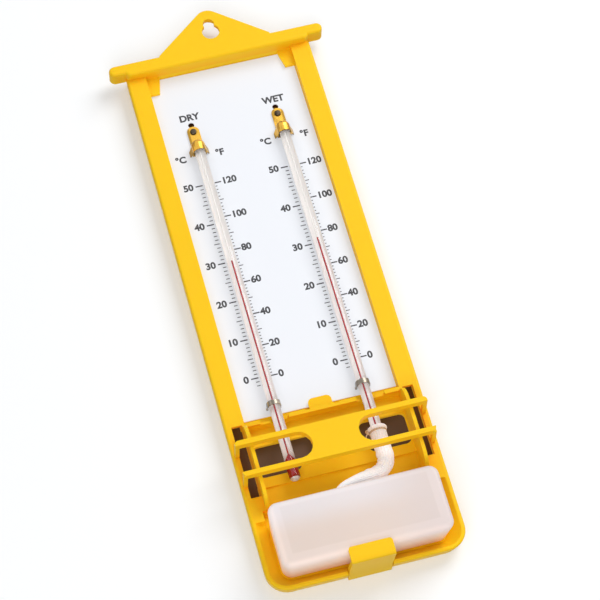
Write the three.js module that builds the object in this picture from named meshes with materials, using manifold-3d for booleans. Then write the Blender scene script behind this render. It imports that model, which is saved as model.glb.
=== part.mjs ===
// Wet and dry bulb hygrometer: two spirit thermometers on a printed scale plate, in a moulded
// case with a roof, a bulb guard and a clipped-in water reservoir that feeds the wet bulb's wick.
//
// Millimetres, +Z up, the front faces -Y. Depths are measured forward from the wall plane (y = 0)
// and heights up from the case's bottom edge, and the finished group is lowered so that the flat
// back of the reservoir tray, which bears on the wall, is at the origin.

import * as THREE from "three";
import { mergeVertices } from "three/addons/utils/BufferGeometryUtils.js";
import Module from "manifold-3d";

const wasm = await Module();
wasm.setup();

// Case, seen from the front
const caseWidth = 100.6;
const caseHeight = 299;
const caseCornerRadius = 11;
const caseDepth = 10.3;
const wall = 2;
const caseSideDraft = 0.7;
const caseBottomDraft = 2.6;
const caseEdgeRadius = 1.5;
const railWidth = 10.5;

// Roof bar, hanging tab and keyhole
const roofLength = 117;
const roofHeight = 7.9;
const roofDepth = 15.3;
const roofSkirtDepth = 8.5;
const roofEndLift = 1.8;
const roofEdgeRadius = 1.5;
const tabFootWidth = 60.6;
const tabRise = 23.8;
const tabNoseRadius = 7;
const tabThickness = 2.5;
const keyholeHeadRadius = 4.7;
const keyholeNeckRadius = 3;
const keyholeRise = 8.4;
const keyholeStep = 5;

// Scale plate and its pocket
const panelSetback = 2.3;
const seatGap = 0.2;
const plateThickness = 0.8;
const plateBottom = 93.1;
const plateSideGap = 0.3;
const plateTopGap = 0.4;

// Shelf under the plate, with its snap tab, and the two ledges at the plate's top corners
const shelfTop = 90.1;
const shelfThickness = 2.1;
const shelfStepWidth = 14.5;
const shelfStepDepth = 1.6;
const shelfStepDrop = 0.9;
const shelfStepOffset = 1.75;
const stemNotchWidth = 7.5;
const stemNotchDepth = 4.2;
const snapTabWidth = 12;
const snapTabHeight = 6.4;
const snapTabThickness = 1.5;
const snapTabRadius = 2.6;
const snapSlitLength = 2.5;
const snapSlitDrop = 0.6;
const ledgeLength = 10;
const ledgeTopReach = 8;
const ledgeBottomReach = 5.3;
const ledgeThickness = 1.7;

// Bulb cage: two deep ribs, the slots beside them, the windows behind the bulbs
const ribInset = 0.2;
const ribThickness = 1.8;
const ribDepth = 20.9;
const ribBottom = 42.5;
const ribTopRadius = 6;
const ribFootRadius = 10;
const slotWidth = 5.3;
const slotBottom = 50.5;
const slotTop = 89.6;
const windowBottom = 61.8;
const windowShoulder = 65.6;
const windowTop = 78.8;
const windowFootInner = 17.3;
const dryWindowInner = 9;
const wetWindowInner = 15.3;
const windowSideLand = 0.5;
const windowRadius = 3;

// Tray that holds the reservoir
const trayFold = 56.6;
const trayTop = 37.5;
const trayFloor = 3;
const trayRim = 2.2;
const traySideInset = 8.4;
const trayBottomInset = 7.2;
const trayCornerRadius = 6;

// Guard across the bulbs
const guardThickness = 4.2;
const guardSideInset = 1.6;
const guardTop = 75.5;
const guardUpperBar = 2.6;
const guardBottom = 56.5;
const guardLowerBar = 2.4;
const guardPanelWidth = 23.5;
const guardLegThickness = 2;
const guardEndRadius = 2;

// Reservoir, which tapers towards the wall
const tankSideInset = 7.5;
const tankHeight = 34.9;
const tankBottom = 4;
const tankDepth = 25;
const tankSideDraft = 1.5;
const tankBottomDraft = 3.9;
const tankTopDraft = 0.5;
const tankCornerRadius = 5;
const tankEdgeRadius = 2.5;
const tankWall = 1.5;
const tankSlotLength = 30;
const tankSlotWidth = 11;
const tankSlotSetback = 4;
const tankGap = 0.3;
const waterLevelShare = 0.6;

// Clip that holds the reservoir's front edge
const clipWidth = 21.8;
const clipThickness = 2.2;
const clipLipHeight = 8.8;
const clipOverlap = 2.8;
const clipRelief = 0.4;
const clipRadius = 1.5;

// Thermometers. What is fixed near the plate's top is a drop below the case's top.
const stemSpacing = 46;
const stemRadius = 2.85;
const stemDepth = 9.3;
const stemTopDrop = 46.4;
const bulbBottom = 54.3;
const bulbTop = 68.7;
const bulbWall = 0.65;
const boreRadius = 0.75;
const spiritGap = 0.1;
const dryReading = 180.3;
const wetReading = 182.3;
const stemSides = 24;

// Brass clips at the stems' tops, and their screws
const strapThickness = 0.6;
const strapWidth = 6.5;
const strapTopDrop = 33.7;
const hoodBottomDrop = 51.4;
const hoodHeight = 4;
const hoodDomeShare = 0.75;
const hoodClearance = 0.25;
const wingHeight = 4.2;
const wingReach = 5.2;
const screwDrop = 36.9;
const screwShankRadius = 1.1;
const screwHeadRadius = 1.75;
const screwHeadHeight = 0.9;
const screwCrownShare = 0.75;
const slotHoleDrop = 32.1;
const slotHoleRadius = 1.65;

// Steel saddles at the stems' feet, with prongs that go through the plate
const saddleHeight = 96.9;
const saddleWidth = 2.6;
const saddleThickness = 0.5;
const saddleClearance = 0.25;
const saddleFootReach = 1.2;
const prongWidth = 1.2;
const prongShoulder = 1;

// Wick and its tie. The bend's shares run from the bulb's foot to where the wick dips
// into the tank: across, forward, down and in thickness.
const sleeveTop = 71.9;
const sleeveRadius = 4;
const sleeveFlare = 0.5;
const sleeveCollar = 2;
const wickBendRadius = 3.6;
const wickTailRadius = 2.2;
const wickTailDepth = 22;
const wickDipX = -8.6;
const wickGap = 0.3;
const wickBendShares = [
  [0.045, 0.03, 0.18, 0.05],
  [0.16, 0.14, 0.4, 0.15],
  [0.34, 0.35, 0.51, 0.3],
  [0.6, 0.66, 0.63, 0.6],
  [0.835, 0.92, 0.79, 0.85],
  [0.96, 1, 1.16, 1],
];
const tieDrop = 1.9;
const tieCordRadius = 0.55;
const tieCordSides = 6;
const tieTurns = 1.75;
const tiePitch = 1.7;

// Wall mount, in the middle of the tray's flat back
const mountHeight = 21;

// One overrun for every cut, the steps of a quarter circle, and what counts as one point
const overrun = 1;
const arcSteps = 8;
const wickStepsPerSpan = 3;
const mergeTolerance = 1e-4;

// Places worked out from the sizes above
const railInner = caseWidth / 2 - railWidth;
const panelFront = panelSetback + wall;
const plateBack = panelFront + seatGap;
const plateFront = plateBack + plateThickness;
const ribInner = railInner - ribInset;
const ribOuter = ribInner + ribThickness;
const guardWidth = caseWidth - 2 * guardSideInset;
const guardBack = ribDepth + seatGap;
const guardFront = guardBack + guardThickness;
const tankWidth = caseWidth - 2 * tankSideInset;
const tankBack = trayFloor + tankGap;
const tankFront = tankBack + tankDepth;
const tankTop = tankBottom + tankHeight;
const lipBack = tankFront + tankGap;
const lipFront = lipBack + clipThickness;
const lipTop = tankBottom + clipOverlap;
const lipBottom = lipTop - clipLipHeight;
const stemX = stemSpacing / 2;
const stemTop = caseHeight - stemTopDrop;
const strapTop = caseHeight - strapTopDrop;
const hoodBottom = caseHeight - hoodBottomDrop;
const screwHeight = caseHeight - screwDrop;
const slotHoleHeight = caseHeight - slotHoleDrop;
const tieHeight = sleeveTop - tieDrop;
const waterLevel = tankBottom + tankWall + waterLevelShare * (tankHeight - 2 * tankWall);
const slotCentreDepth = tankFront - tankSlotSetback - tankSlotWidth / 2;

// Solids

function facingOut(geometry) {
  const position = geometry.getAttribute("position");
  const index = geometry.getIndex();
  const a = new THREE.Vector3();
  const b = new THREE.Vector3();
  const c = new THREE.Vector3();
  let volume = 0;
  for (let i = 0; i < index.count; i += 3) {
    a.fromBufferAttribute(position, index.getX(i));
    b.fromBufferAttribute(position, index.getX(i + 1));
    c.fromBufferAttribute(position, index.getX(i + 2));
    volume += a.dot(b.cross(c));
  }
  if (volume < 0) {
    const order = index.array;
    for (let i = 0; i < order.length; i += 3) {
      const second = order[i + 1];
      order[i + 1] = order[i + 2];
      order[i + 2] = second;
    }
  }
  return geometry;
}

function solid(geometry) {
  const bare = geometry.clone();
  bare.deleteAttribute("normal");
  bare.deleteAttribute("uv");
  const merged = facingOut(mergeVertices(bare, mergeTolerance));
  const mesh = new wasm.Mesh({
    numProp: 3,
    vertProperties: new Float32Array(merged.getAttribute("position").array),
    triVerts: new Uint32Array(merged.getIndex().array),
  });
  return new wasm.Manifold(mesh);
}

function geometryOf(manifold) {
  const mesh = manifold.getMesh();
  const geometry = new THREE.BufferGeometry();
  geometry.setAttribute("position", new THREE.BufferAttribute(mesh.vertProperties, 3));
  geometry.setIndex(new THREE.BufferAttribute(mesh.triVerts, 1));
  return geometry;
}

function joined(...solids) {
  return solids.reduce((sum, piece) => sum.add(piece));
}

function cut(from, ...tools) {
  return tools.reduce((rest, tool) => rest.subtract(tool), from);
}

// A box between two sides (x), two depths forward of the wall plane and two heights
function block([left, right], [back, front], [bottom, top]) {
  const geometry = new THREE.BoxGeometry(right - left, front - back, top - bottom);
  geometry.translate((left + right) / 2, -(back + front) / 2, (bottom + top) / 2);
  return solid(geometry);
}

// The same box on the left and the right
function blockPair([inner, outer], depths, heights) {
  return block([inner, outer], depths, heights).add(block([-outer, -inner], depths, heights));
}

// A front-view shape (x, z) between two depths
function slab(shape, [back, front]) {
  const options = { depth: front - back, bevelEnabled: false, curveSegments: arcSteps };
  const geometry = new THREE.ExtrudeGeometry(shape, options);
  geometry.rotateX(Math.PI / 2);
  geometry.translate(0, -back, 0);
  return solid(geometry);
}

// A side-view shape (depth, z) between two sides
function plate(shape, [left, right]) {
  const options = { depth: right - left, bevelEnabled: false, curveSegments: arcSteps };
  const geometry = new THREE.ExtrudeGeometry(shape, options);
  const forward = new THREE.Vector3(0, -1, 0);
  const up = new THREE.Vector3(0, 0, 1);
  const across = new THREE.Vector3(1, 0, 0);
  geometry.applyMatrix4(new THREE.Matrix4().makeBasis(forward, up, across));
  geometry.translate(left, 0, 0);
  return solid(geometry);
}

// A plan-view shape (x, depth) between two heights
function prism(shape, [bottom, top]) {
  const options = { depth: top - bottom, bevelEnabled: false, curveSegments: arcSteps };
  const geometry = new THREE.ExtrudeGeometry(shape, options);
  geometry.scale(1, -1, 1);
  geometry.translate(0, 0, bottom);
  return solid(geometry);
}

// A skin through rings of equally many points, closed by a flat cap at each end
function loft(rings) {
  const count = rings[0].length;
  const positions = rings.flat().flatMap((point) => point.toArray());
  const indices = [];
  for (let ring = 0; ring + 1 < rings.length; ring += 1) {
    for (let i = 0; i < count; i += 1) {
      const here = ring * count + i;
      const next = ring * count + ((i + 1) % count);
      indices.push(here, next, next + count);
      indices.push(here, next + count, here + count);
    }
  }
  const axes = capAxes(rings[0]);
  const outline = rings[0].map((point) => new THREE.Vector2(point.dot(axes.u), point.dot(axes.v)));
  const caps = THREE.ShapeUtils.triangulateShape(outline, []);
  const last = (rings.length - 1) * count;
  for (const [a, b, c] of caps) {
    indices.push(a, c, b);
    indices.push(last + a, last + b, last + c);
  }
  const geometry = new THREE.BufferGeometry();
  geometry.setAttribute("position", new THREE.Float32BufferAttribute(positions, 3));
  geometry.setIndex(indices);
  return solid(geometry);
}

// Two directions in a ring's plane
function capAxes(ring) {
  const normal = new THREE.Vector3();
  ring.forEach((point, i) => {
    normal.add(point.clone().cross(ring[(i + 1) % ring.length]));
  });
  normal.normalize();
  const u = ring[1].clone().sub(ring[0]).normalize();
  const v = normal.clone().cross(u);
  return { u, v };
}

// Rounded rectangle seen from the front, as a ring of points at one depth
function frontRing({ left, right, bottom, top, low, high, depth }) {
  const ring = [];
  const corners = [
    [right - low, bottom + low, low, -Math.PI / 2],
    [right - high, top - high, high, 0],
    [left + high, top - high, high, Math.PI / 2],
    [left + low, bottom + low, low, Math.PI],
  ];
  for (const [x, z, radius, start] of corners) {
    for (let i = 0; i <= arcSteps; i += 1) {
      const angle = start + ((Math.PI / 2) * i) / arcSteps;
      ring.push(new THREE.Vector3(x + radius * Math.cos(angle), -depth, z + radius * Math.sin(angle)));
    }
  }
  return ring;
}

function circleShape(x, y, radius) {
  const shape = new THREE.Shape();
  shape.absarc(x, y, radius, 0, 2 * Math.PI, false);
  return shape;
}

function roundedShape([left, right], [bottom, top], radius) {
  const shape = new THREE.Shape();
  shape.absarc(right - radius, bottom + radius, radius, -Math.PI / 2, 0, false);
  shape.absarc(right - radius, top - radius, radius, 0, Math.PI / 2, false);
  shape.absarc(left + radius, top - radius, radius, Math.PI / 2, Math.PI, false);
  shape.absarc(left + radius, bottom + radius, radius, Math.PI, 1.5 * Math.PI, false);
  return shape;
}

// A turned profile (radius, height) on a vertical axis
function turned(profile, [x, depth], sides) {
  const points = profile.map(([radius, height]) => new THREE.Vector2(radius, height));
  const geometry = new THREE.LatheGeometry(points, sides);
  geometry.rotateX(Math.PI / 2);
  geometry.translate(x, -depth, 0);
  return solid(geometry);
}

// A turned profile (radius, depth) on a level axis that runs from the wall forward
function turnedForward(profile, [x, height], sides) {
  const points = profile.map(([radius, depth]) => new THREE.Vector2(radius, -depth));
  const geometry = new THREE.LatheGeometry(points, sides);
  geometry.translate(x, 0, height);
  return solid(geometry);
}

// Case

// The case's outline at one depth. It draws in towards the wall, most at the bottom.
function caseRing(inset, depth, topInset = 0) {
  const share = 1 - depth / caseDepth;
  const side = inset + caseSideDraft * share;
  return frontRing({
    left: -caseWidth / 2 + side,
    right: caseWidth / 2 - side,
    bottom: inset + caseBottomDraft * share,
    top: caseHeight + roofHeight / 2 - topInset,
    low: caseCornerRadius - inset,
    high: caseEdgeRadius,
    depth,
  });
}

function caseShell() {
  const rings = [caseRing(0, 0)];
  for (let i = 0; i <= arcSteps; i += 1) {
    const angle = ((Math.PI / 2) * i) / arcSteps;
    const depth = caseDepth - caseEdgeRadius * (1 - Math.sin(angle));
    rings.push(caseRing(caseEdgeRadius * (1 - Math.cos(angle)), depth));
  }
  return loft(rings);
}

// Behind the front walls the moulding is hollow, open to the wall
function caseHollow() {
  const hollow = loft([
    caseRing(wall, -overrun, wall),
    caseRing(wall, caseDepth - wall, wall),
  ]);
  const side = railInner + wall;
  const panel = block([-side, side], [panelSetback, caseDepth], [0, caseHeight + roofHeight]);
  const tray = block([-caseWidth, caseWidth], [-caseDepth, caseDepth], [-overrun, ribBottom + wall]);
  const floor = block([-side, side], [-caseDepth, caseDepth], [-overrun, trayFold + wall]);
  return cut(hollow, panel, tray, floor);
}

function scalePocket() {
  return block([-railInner, railInner], [panelFront, caseDepth + overrun], [shelfTop, caseHeight]);
}

function cagePocket() {
  const bottom = trayFold;
  const top = shelfTop - shelfThickness;
  const front = caseDepth + overrun;
  const behindBulbs = block([-ribInner, ribInner], [panelFront, front], [bottom, top]);
  const underBulbs = block([-ribInner, ribInner], [trayFloor, front], [trayTop - overrun, bottom]);
  const tankHalf = tankWidth / 2 + tankGap;
  const aboveTank = block([-tankHalf, tankHalf], [trayFloor, front], [trayTop - overrun, ribBottom]);
  return joined(behindBulbs, underBulbs, aboveTank);
}

function trayRing(side, bottom, radius, depth) {
  return frontRing({
    left: -caseWidth / 2 + side,
    right: caseWidth / 2 - side,
    bottom,
    top: trayTop,
    low: radius,
    high: caseEdgeRadius / 2,
    depth,
  });
}

function trayPocket() {
  const rimRadius = caseCornerRadius - trayRim;
  return loft([
    trayRing(traySideInset, trayBottomInset, trayCornerRadius, trayFloor),
    trayRing(trayRim, trayRim, rimRadius, caseDepth),
    trayRing(trayRim, trayRim, rimRadius, caseDepth + overrun),
  ]);
}

// The shelf steps back and down at each stem, with a narrow notch for the stem itself
function shelfStep(side) {
  const centre = side * (stemX + shelfStepOffset);
  const sides = [centre - shelfStepWidth / 2, centre + shelfStepWidth / 2];
  const front = caseDepth + overrun;
  const heights = [shelfTop - shelfThickness - overrun, shelfTop + overrun];
  const back = block(sides, [caseDepth - shelfStepDepth, front], heights);
  const down = block(sides, [plateFront, front], [shelfTop - shelfStepDrop, shelfTop + overrun]);
  const half = stemNotchWidth / 2;
  const stem = [side * stemX - half, side * stemX + half];
  return joined(back, down, block(stem, [caseDepth - stemNotchDepth, front], heights));
}

function snapTab() {
  const half = snapTabWidth / 2;
  const bottom = shelfTop - shelfThickness;
  const shape = roundedShape([-half, half], [bottom, shelfTop + snapTabHeight], snapTabRadius);
  const back = plateFront + seatGap;
  return slab(shape, [back, back + snapTabThickness]);
}

// Slits in the shelf's top beside the snap tab
function snapSlits() {
  const inner = snapTabWidth / 2 + seatGap;
  const sides = [inner, inner + snapSlitLength];
  return blockPair(sides, [plateFront, caseDepth + overrun], [shelfTop - snapSlitDrop, shelfTop + overrun]);
}

function cornerLedge(side) {
  const bottom = caseHeight - ledgeLength;
  const outer = railInner + wall / 2;
  const shape = new THREE.Shape();
  shape.moveTo(side * outer, bottom);
  shape.lineTo(side * (railInner - ledgeBottomReach), bottom);
  shape.lineTo(side * (railInner - ledgeTopReach), caseHeight + wall);
  shape.lineTo(side * outer, caseHeight + wall);
  const back = plateFront + seatGap;
  return slab(shape, [back, back + ledgeThickness]);
}

function rib(side) {
  const top = shelfTop - shelfThickness / 2;
  const shape = new THREE.Shape();
  shape.moveTo(trayFloor - wall / 2, top);
  shape.lineTo(trayFloor - wall / 2, ribBottom);
  shape.lineTo(ribDepth - ribFootRadius, ribBottom);
  shape.quadraticCurveTo(ribDepth, ribBottom, ribDepth, ribBottom + ribFootRadius);
  shape.lineTo(ribDepth, top - 2 * ribTopRadius);
  shape.quadraticCurveTo(ribDepth, top - ribTopRadius / 2, ribDepth - 2 * ribTopRadius, top);
  const sides = side > 0 ? [ribInner, ribOuter] : [-ribOuter, -ribInner];
  return plate(shape, sides);
}

// A window behind a bulb, which is wider above its shoulder than at its foot
function bulbWindow(side, shoulderInner) {
  const outer = ribInner - windowSideLand;
  const opening = (inner, bottom) => {
    const sides = side > 0 ? [inner, outer] : [-outer, -inner];
    const shape = roundedShape(sides, [bottom, windowTop], windowRadius);
    return slab(shape, [-overrun, panelFront + overrun]);
  };
  return opening(shoulderInner, windowShoulder).add(opening(windowFootInner, windowBottom));
}

// A bar with round ends and a rounded front edge
function roundedBar(half, [bottom, top]) {
  const radius = (roofHeight - roofEndLift) / 2;
  const ring = (inset, depth) => frontRing({
    left: inset - half,
    right: half - inset,
    bottom: bottom + inset,
    top: top - inset,
    low: radius - inset,
    high: radius - inset,
    depth,
  });
  const steps = arcSteps / 2;
  const rings = [ring(0, roofDepth - roofSkirtDepth)];
  for (let i = 0; i <= steps; i += 1) {
    const angle = ((Math.PI / 2) * i) / steps;
    const inset = roofEdgeRadius * (1 - Math.cos(angle));
    rings.push(ring(inset, roofDepth - roofEdgeRadius * (1 - Math.sin(angle))));
  }
  return loft(rings);
}

// The roof's ends, outside the case, are slimmer than its middle. It is hollow from behind.
function roofBar() {
  const top = caseHeight + roofHeight;
  const endBottom = caseHeight + roofEndLift;
  const whole = roundedBar(roofLength / 2, [endBottom, top]);
  const middle = roundedBar(caseWidth / 2, [caseHeight, top]);
  const inner = roofLength / 2 - wall;
  const shape = roundedShape([-inner, inner], [endBottom + wall, top - wall], (top - endBottom) / 2 - wall);
  const hollow = slab(shape, [roofDepth - roofSkirtDepth - overrun, roofDepth - wall]);
  return whole.add(middle).subtract(hollow);
}

// Triangle with a round nose, inset on its two slopes for the hollow behind it
function tabShape(inset) {
  const slope = Math.atan2(tabRise, tabFootWidth / 2);
  const foot = tabFootWidth / 2 - inset / Math.sin(slope);
  const apex = caseHeight + roofHeight + tabRise - inset / Math.cos(slope);
  const radius = tabNoseRadius - inset;
  const centre = apex - radius / Math.cos(slope);
  const shape = new THREE.Shape();
  const base = caseHeight + roofHeight / 2;
  shape.moveTo(-foot, base);
  shape.lineTo(foot, base);
  shape.lineTo(foot, caseHeight + roofHeight);
  shape.absarc(0, centre, radius, Math.PI / 2 - slope, Math.PI / 2 + slope, false);
  shape.lineTo(-foot, caseHeight + roofHeight);
  return shape;
}

function hangingTab() {
  const back = roofDepth - roofSkirtDepth;
  const face = slab(tabShape(0), [back, roofDepth]);
  const hollow = slab(tabShape(wall), [back - overrun, roofDepth - tabThickness]);
  return face.subtract(hollow);
}

function keyhole() {
  const centre = caseHeight + roofHeight + keyholeRise;
  const depths = [roofDepth - tabThickness - overrun, roofDepth + overrun];
  const head = slab(circleShape(0, centre, keyholeHeadRadius), depths);
  const neck = slab(circleShape(0, centre + keyholeStep, keyholeNeckRadius), depths);
  return head.add(neck);
}

// Slots in the bottom rim on both sides of the clip, and the room that the clip takes
function clipRoom() {
  const half = clipWidth / 2 + clipRelief;
  return block([-half, half], [-overrun, caseDepth + overrun], [-overrun, tankBottom - tankGap]);
}

function screwHoles(radius) {
  const depths = [-overrun, plateFront + overrun];
  const hole = (x, z, r) => slab(circleShape(x, z, r), depths);
  return [-stemX, stemX].flatMap((x) => [
    hole(x, screwHeight, radius),
    hole(x, slotHoleHeight, slotHoleRadius),
  ]);
}

// Holes for the saddles' two prongs
function saddleHoles(gap) {
  const inner = stemRadius + saddleClearance - gap;
  const outer = stemRadius + saddleClearance + saddleThickness + gap;
  const half = prongWidth / 2 + gap;
  const heights = [saddleHeight - half, saddleHeight + half];
  const depths = [-overrun, plateFront + overrun];
  return [-stemX, stemX].flatMap((x) => [
    block([x + inner, x + outer], depths, heights),
    block([x - outer, x - inner], depths, heights),
  ]);
}

// Slots beside the ribs, right through the case
function sideSlots() {
  const depths = [-overrun, caseDepth + overrun];
  return blockPair([ribOuter, ribOuter + slotWidth], depths, [slotBottom, slotTop]);
}

function caseSolid() {
  const shell = cut(
    caseShell(),
    caseHollow(),
    scalePocket(),
    cagePocket(),
    trayPocket(),
    sideSlots(),
    shelfStep(-1),
    shelfStep(1),
    snapSlits(),
  );
  const whole = joined(
    shell,
    snapTab(),
    cornerLedge(-1),
    cornerLedge(1),
    rib(-1),
    rib(1),
    roofBar(),
    hangingTab(),
  );
  return cut(
    whole,
    bulbWindow(-1, dryWindowInner),
    bulbWindow(1, wetWindowInner),
    keyhole(),
    clipRoom(),
    ...screwHoles(screwShankRadius + spiritGap),
    ...saddleHoles(seatGap),
  );
}

// Guard: two bars and a middle panel, the bars' ends turned back to the case's sides

function guardSolid() {
  const half = guardWidth / 2;
  const outline = roundedShape([-half, half], [guardBottom, guardTop], guardEndRadius);
  const face = slab(outline, [guardBack, guardFront]);
  const slotLow = guardBottom + guardLowerBar;
  const slotHigh = guardTop - guardUpperBar;
  const radius = (slotHigh - slotLow) / 2;
  const openings = [-1, 1].map((side) => {
    const inner = guardPanelWidth / 2;
    const round = circleShape(side * (inner + radius), slotLow + radius, radius);
    const end = slab(round, [guardBack - overrun, guardFront + overrun]);
    const straight = [inner + radius, half + overrun];
    const sides = side > 0 ? straight : [-straight[1], -straight[0]];
    return end.add(block(sides, [caseDepth, guardFront + overrun], [slotLow, slotHigh]));
  });
  const legDepths = [caseDepth + seatGap, guardFront - guardEndRadius];
  const legs = blockPair([half - guardLegThickness, half], legDepths, [guardBottom, guardTop]);
  return cut(face.add(legs), ...openings);
}

function scalePlateSolid() {
  const half = railInner - plateSideGap;
  const heights = [plateBottom, caseHeight - plateTopGap];
  const sheet = block([-half, half], [plateBack, plateFront], heights);
  return cut(sheet, ...screwHoles(screwShankRadius + spiritGap), ...saddleHoles(seatGap));
}

// Reservoir: a flat bottle with one filling slot in its top

function tankRing(inset, depth) {
  const share = (tankFront - depth) / tankDepth;
  const side = tankWidth / 2 - inset - tankSideDraft * share;
  return frontRing({
    left: -side,
    right: side,
    bottom: tankBottom + inset + tankBottomDraft * share,
    top: tankTop - inset - tankTopDraft * share,
    low: tankCornerRadius - inset,
    high: tankCornerRadius - inset,
    depth,
  });
}

function tankBody(inset) {
  const radius = tankEdgeRadius - inset;
  const steps = arcSteps / 2;
  const rings = [];
  for (let i = 0; i <= steps; i += 1) {
    const angle = ((Math.PI / 2) * i) / steps;
    const depth = tankBack + inset + radius * (1 - Math.cos(angle));
    rings.push(tankRing(inset + radius * (1 - Math.sin(angle)), depth));
  }
  for (let i = steps; i >= 0; i -= 1) {
    const angle = ((Math.PI / 2) * i) / steps;
    const depth = tankFront - inset - radius * (1 - Math.cos(angle));
    rings.push(tankRing(inset + radius * (1 - Math.sin(angle)), depth));
  }
  return loft(rings);
}

function tankSlot() {
  const half = tankSlotLength / 2;
  const depths = [slotCentreDepth - tankSlotWidth / 2, slotCentreDepth + tankSlotWidth / 2];
  const shape = roundedShape([-half, half], depths, tankSlotWidth / 2 - seatGap);
  return prism(shape, [tankTop - 2 * tankWall, tankTop + overrun]);
}

function reservoirSolid() {
  return cut(tankBody(0), tankBody(tankWall), tankSlot());
}

function waterSolid() {
  const filling = tankBody(tankWall + seatGap);
  const above = block([-tankWidth, tankWidth], [0, tankFront], [waterLevel, tankTop]);
  return cut(filling, above, wickBody(wickGap));
}

// Clip: a tongue under the tank that turns up in front of it

function clipSolid() {
  const half = clipWidth / 2;
  const under = tankBottom - 2 * tankGap;
  const shape = new THREE.Shape();
  shape.moveTo(tankGap, under - clipThickness);
  shape.lineTo(caseDepth, under - clipThickness - tankGap);
  shape.lineTo(lipFront - clipRadius, lipBottom);
  shape.quadraticCurveTo(lipFront, lipBottom, lipFront, lipBottom + 2 * clipRadius);
  shape.lineTo(lipFront, lipTop - clipRadius);
  shape.quadraticCurveTo(lipFront, lipTop, lipFront - clipRadius, lipTop);
  shape.lineTo(lipBack, lipTop);
  shape.lineTo(lipBack, lipBottom + clipThickness);
  shape.lineTo(caseDepth + clipThickness, under - tankGap);
  shape.lineTo(caseDepth, under);
  shape.lineTo(tankGap, under);
  return plate(shape, [-half, half]);
}

// Thermometers

// The round end of a bulb, as points from its axis up to its full radius
function bulbEnd(radius) {
  const centre = bulbBottom + stemRadius;
  const steps = arcSteps / 2;
  const points = [];
  for (let i = 0; i <= steps; i += 1) {
    const angle = ((Math.PI / 2) * i) / steps;
    points.push([radius * Math.sin(angle), centre - radius * Math.cos(angle)]);
  }
  return points;
}

function stemSolid(x) {
  const bulbRadius = stemRadius - bulbWall;
  const profile = [
    ...bulbEnd(stemRadius),
    [stemRadius, stemTop - boreRadius],
    [stemRadius - boreRadius / 2, stemTop],
    [boreRadius, stemTop],
    [boreRadius, bulbTop],
    [bulbRadius, bulbTop - bulbRadius],
    ...bulbEnd(bulbRadius).reverse(),
  ];
  return turned(profile, [x, stemDepth], stemSides);
}

function bulbSpiritSolid(x) {
  const bulbRadius = stemRadius - bulbWall - spiritGap;
  const profile = [
    ...bulbEnd(bulbRadius),
    [bulbRadius, bulbTop - bulbRadius - 2 * spiritGap],
    [boreRadius - spiritGap, bulbTop - spiritGap],
    [0, bulbTop - spiritGap],
  ];
  return turned(profile, [x, stemDepth], stemSides);
}

function columnSolid(x, reading) {
  const radius = boreRadius - spiritGap;
  const profile = [
    [0, bulbTop],
    [radius, bulbTop],
    [radius, reading],
    [0, reading],
  ];
  return turned(profile, [x, stemDepth], stemSides);
}

function topClipSolid(x) {
  const inner = stemRadius + hoodClearance;
  const outer = inner + strapThickness;
  const back = plateFront + seatGap;
  const front = back + strapThickness;
  const half = strapWidth / 2;
  const hoodTop = hoodBottom + hoodHeight;
  const outline = roundedShape([x - half, x + half], [hoodTop - wall, strapTop], half - seatGap);
  const tongue = slab(outline, [back, front]);
  const hood = (radius, low) => {
    const steps = arcSteps / 2;
    const profile = [[0, low], [radius, low]];
    for (let i = 0; i <= steps; i += 1) {
      const angle = ((Math.PI / 2) * i) / steps;
      const rise = hoodDomeShare * radius * Math.sin(angle);
      profile.push([radius * Math.cos(angle), hoodTop + rise]);
    }
    return turned(profile, [x, stemDepth], stemSides);
  };
  const cheeks = block([x - outer, x + outer], [back, stemDepth], [hoodBottom, hoodTop]);
  const roomHeights = [hoodBottom - overrun, hoodTop + hoodDomeShare * inner];
  const room = block([x - inner, x + inner], [front, stemDepth], roomHeights);
  const shell = hood(outer, hoodBottom).add(cheeks);
  const behind = block([x - 2 * outer, x + 2 * outer], [0, back], [hoodBottom - overrun, strapTop]);
  const wings = [-1, 1].map((side) => wing(x, side, outer, back));
  const whole = joined(cut(shell, hood(inner, hoodBottom - overrun), room, behind), tongue, ...wings);
  const hole = slab(circleShape(x, screwHeight, screwShankRadius + spiritGap), [0, front + overrun]);
  return whole.subtract(hole);
}

// A wing that flares from the hood's side down to the plate
function wing(x, side, outer, back) {
  const root = x + side * (outer - strapThickness / 2);
  const foot = x + side * wingReach;
  const lip = side * strapThickness;
  const shape = new THREE.Shape();
  shape.moveTo(root, stemDepth);
  shape.lineTo(foot, back);
  shape.lineTo(foot - lip, back);
  shape.lineTo(root - lip / 2, stemDepth - strapThickness);
  const top = hoodBottom + wingHeight;
  const sheet = prism(shape, [hoodBottom, top]);
  const taper = new THREE.Shape();
  taper.moveTo(foot + side * overrun, hoodBottom + wingHeight / 2);
  taper.lineTo(foot + side * overrun, top + overrun);
  taper.lineTo(root - lip, top + overrun);
  const corner = slab(taper, [0, stemDepth + overrun]);
  return sheet.subtract(corner);
}

function screwSolid(x) {
  const seat = plateFront + seatGap + strapThickness + spiritGap;
  const profile = [
    [0, 0],
    [screwHeadRadius * screwCrownShare, 0],
    [screwHeadRadius, screwHeadHeight / 2],
    [screwHeadRadius, panelSetback - spiritGap],
    [screwShankRadius, panelSetback - spiritGap],
    [screwShankRadius, seat],
    [screwHeadRadius, seat],
    [screwHeadRadius, seat + screwHeadHeight / 2],
    [screwHeadRadius * screwCrownShare, seat + screwHeadHeight],
    [0, seat + screwHeadHeight],
  ];
  return turnedForward(profile, [x, screwHeight], stemSides / 2);
}

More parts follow.
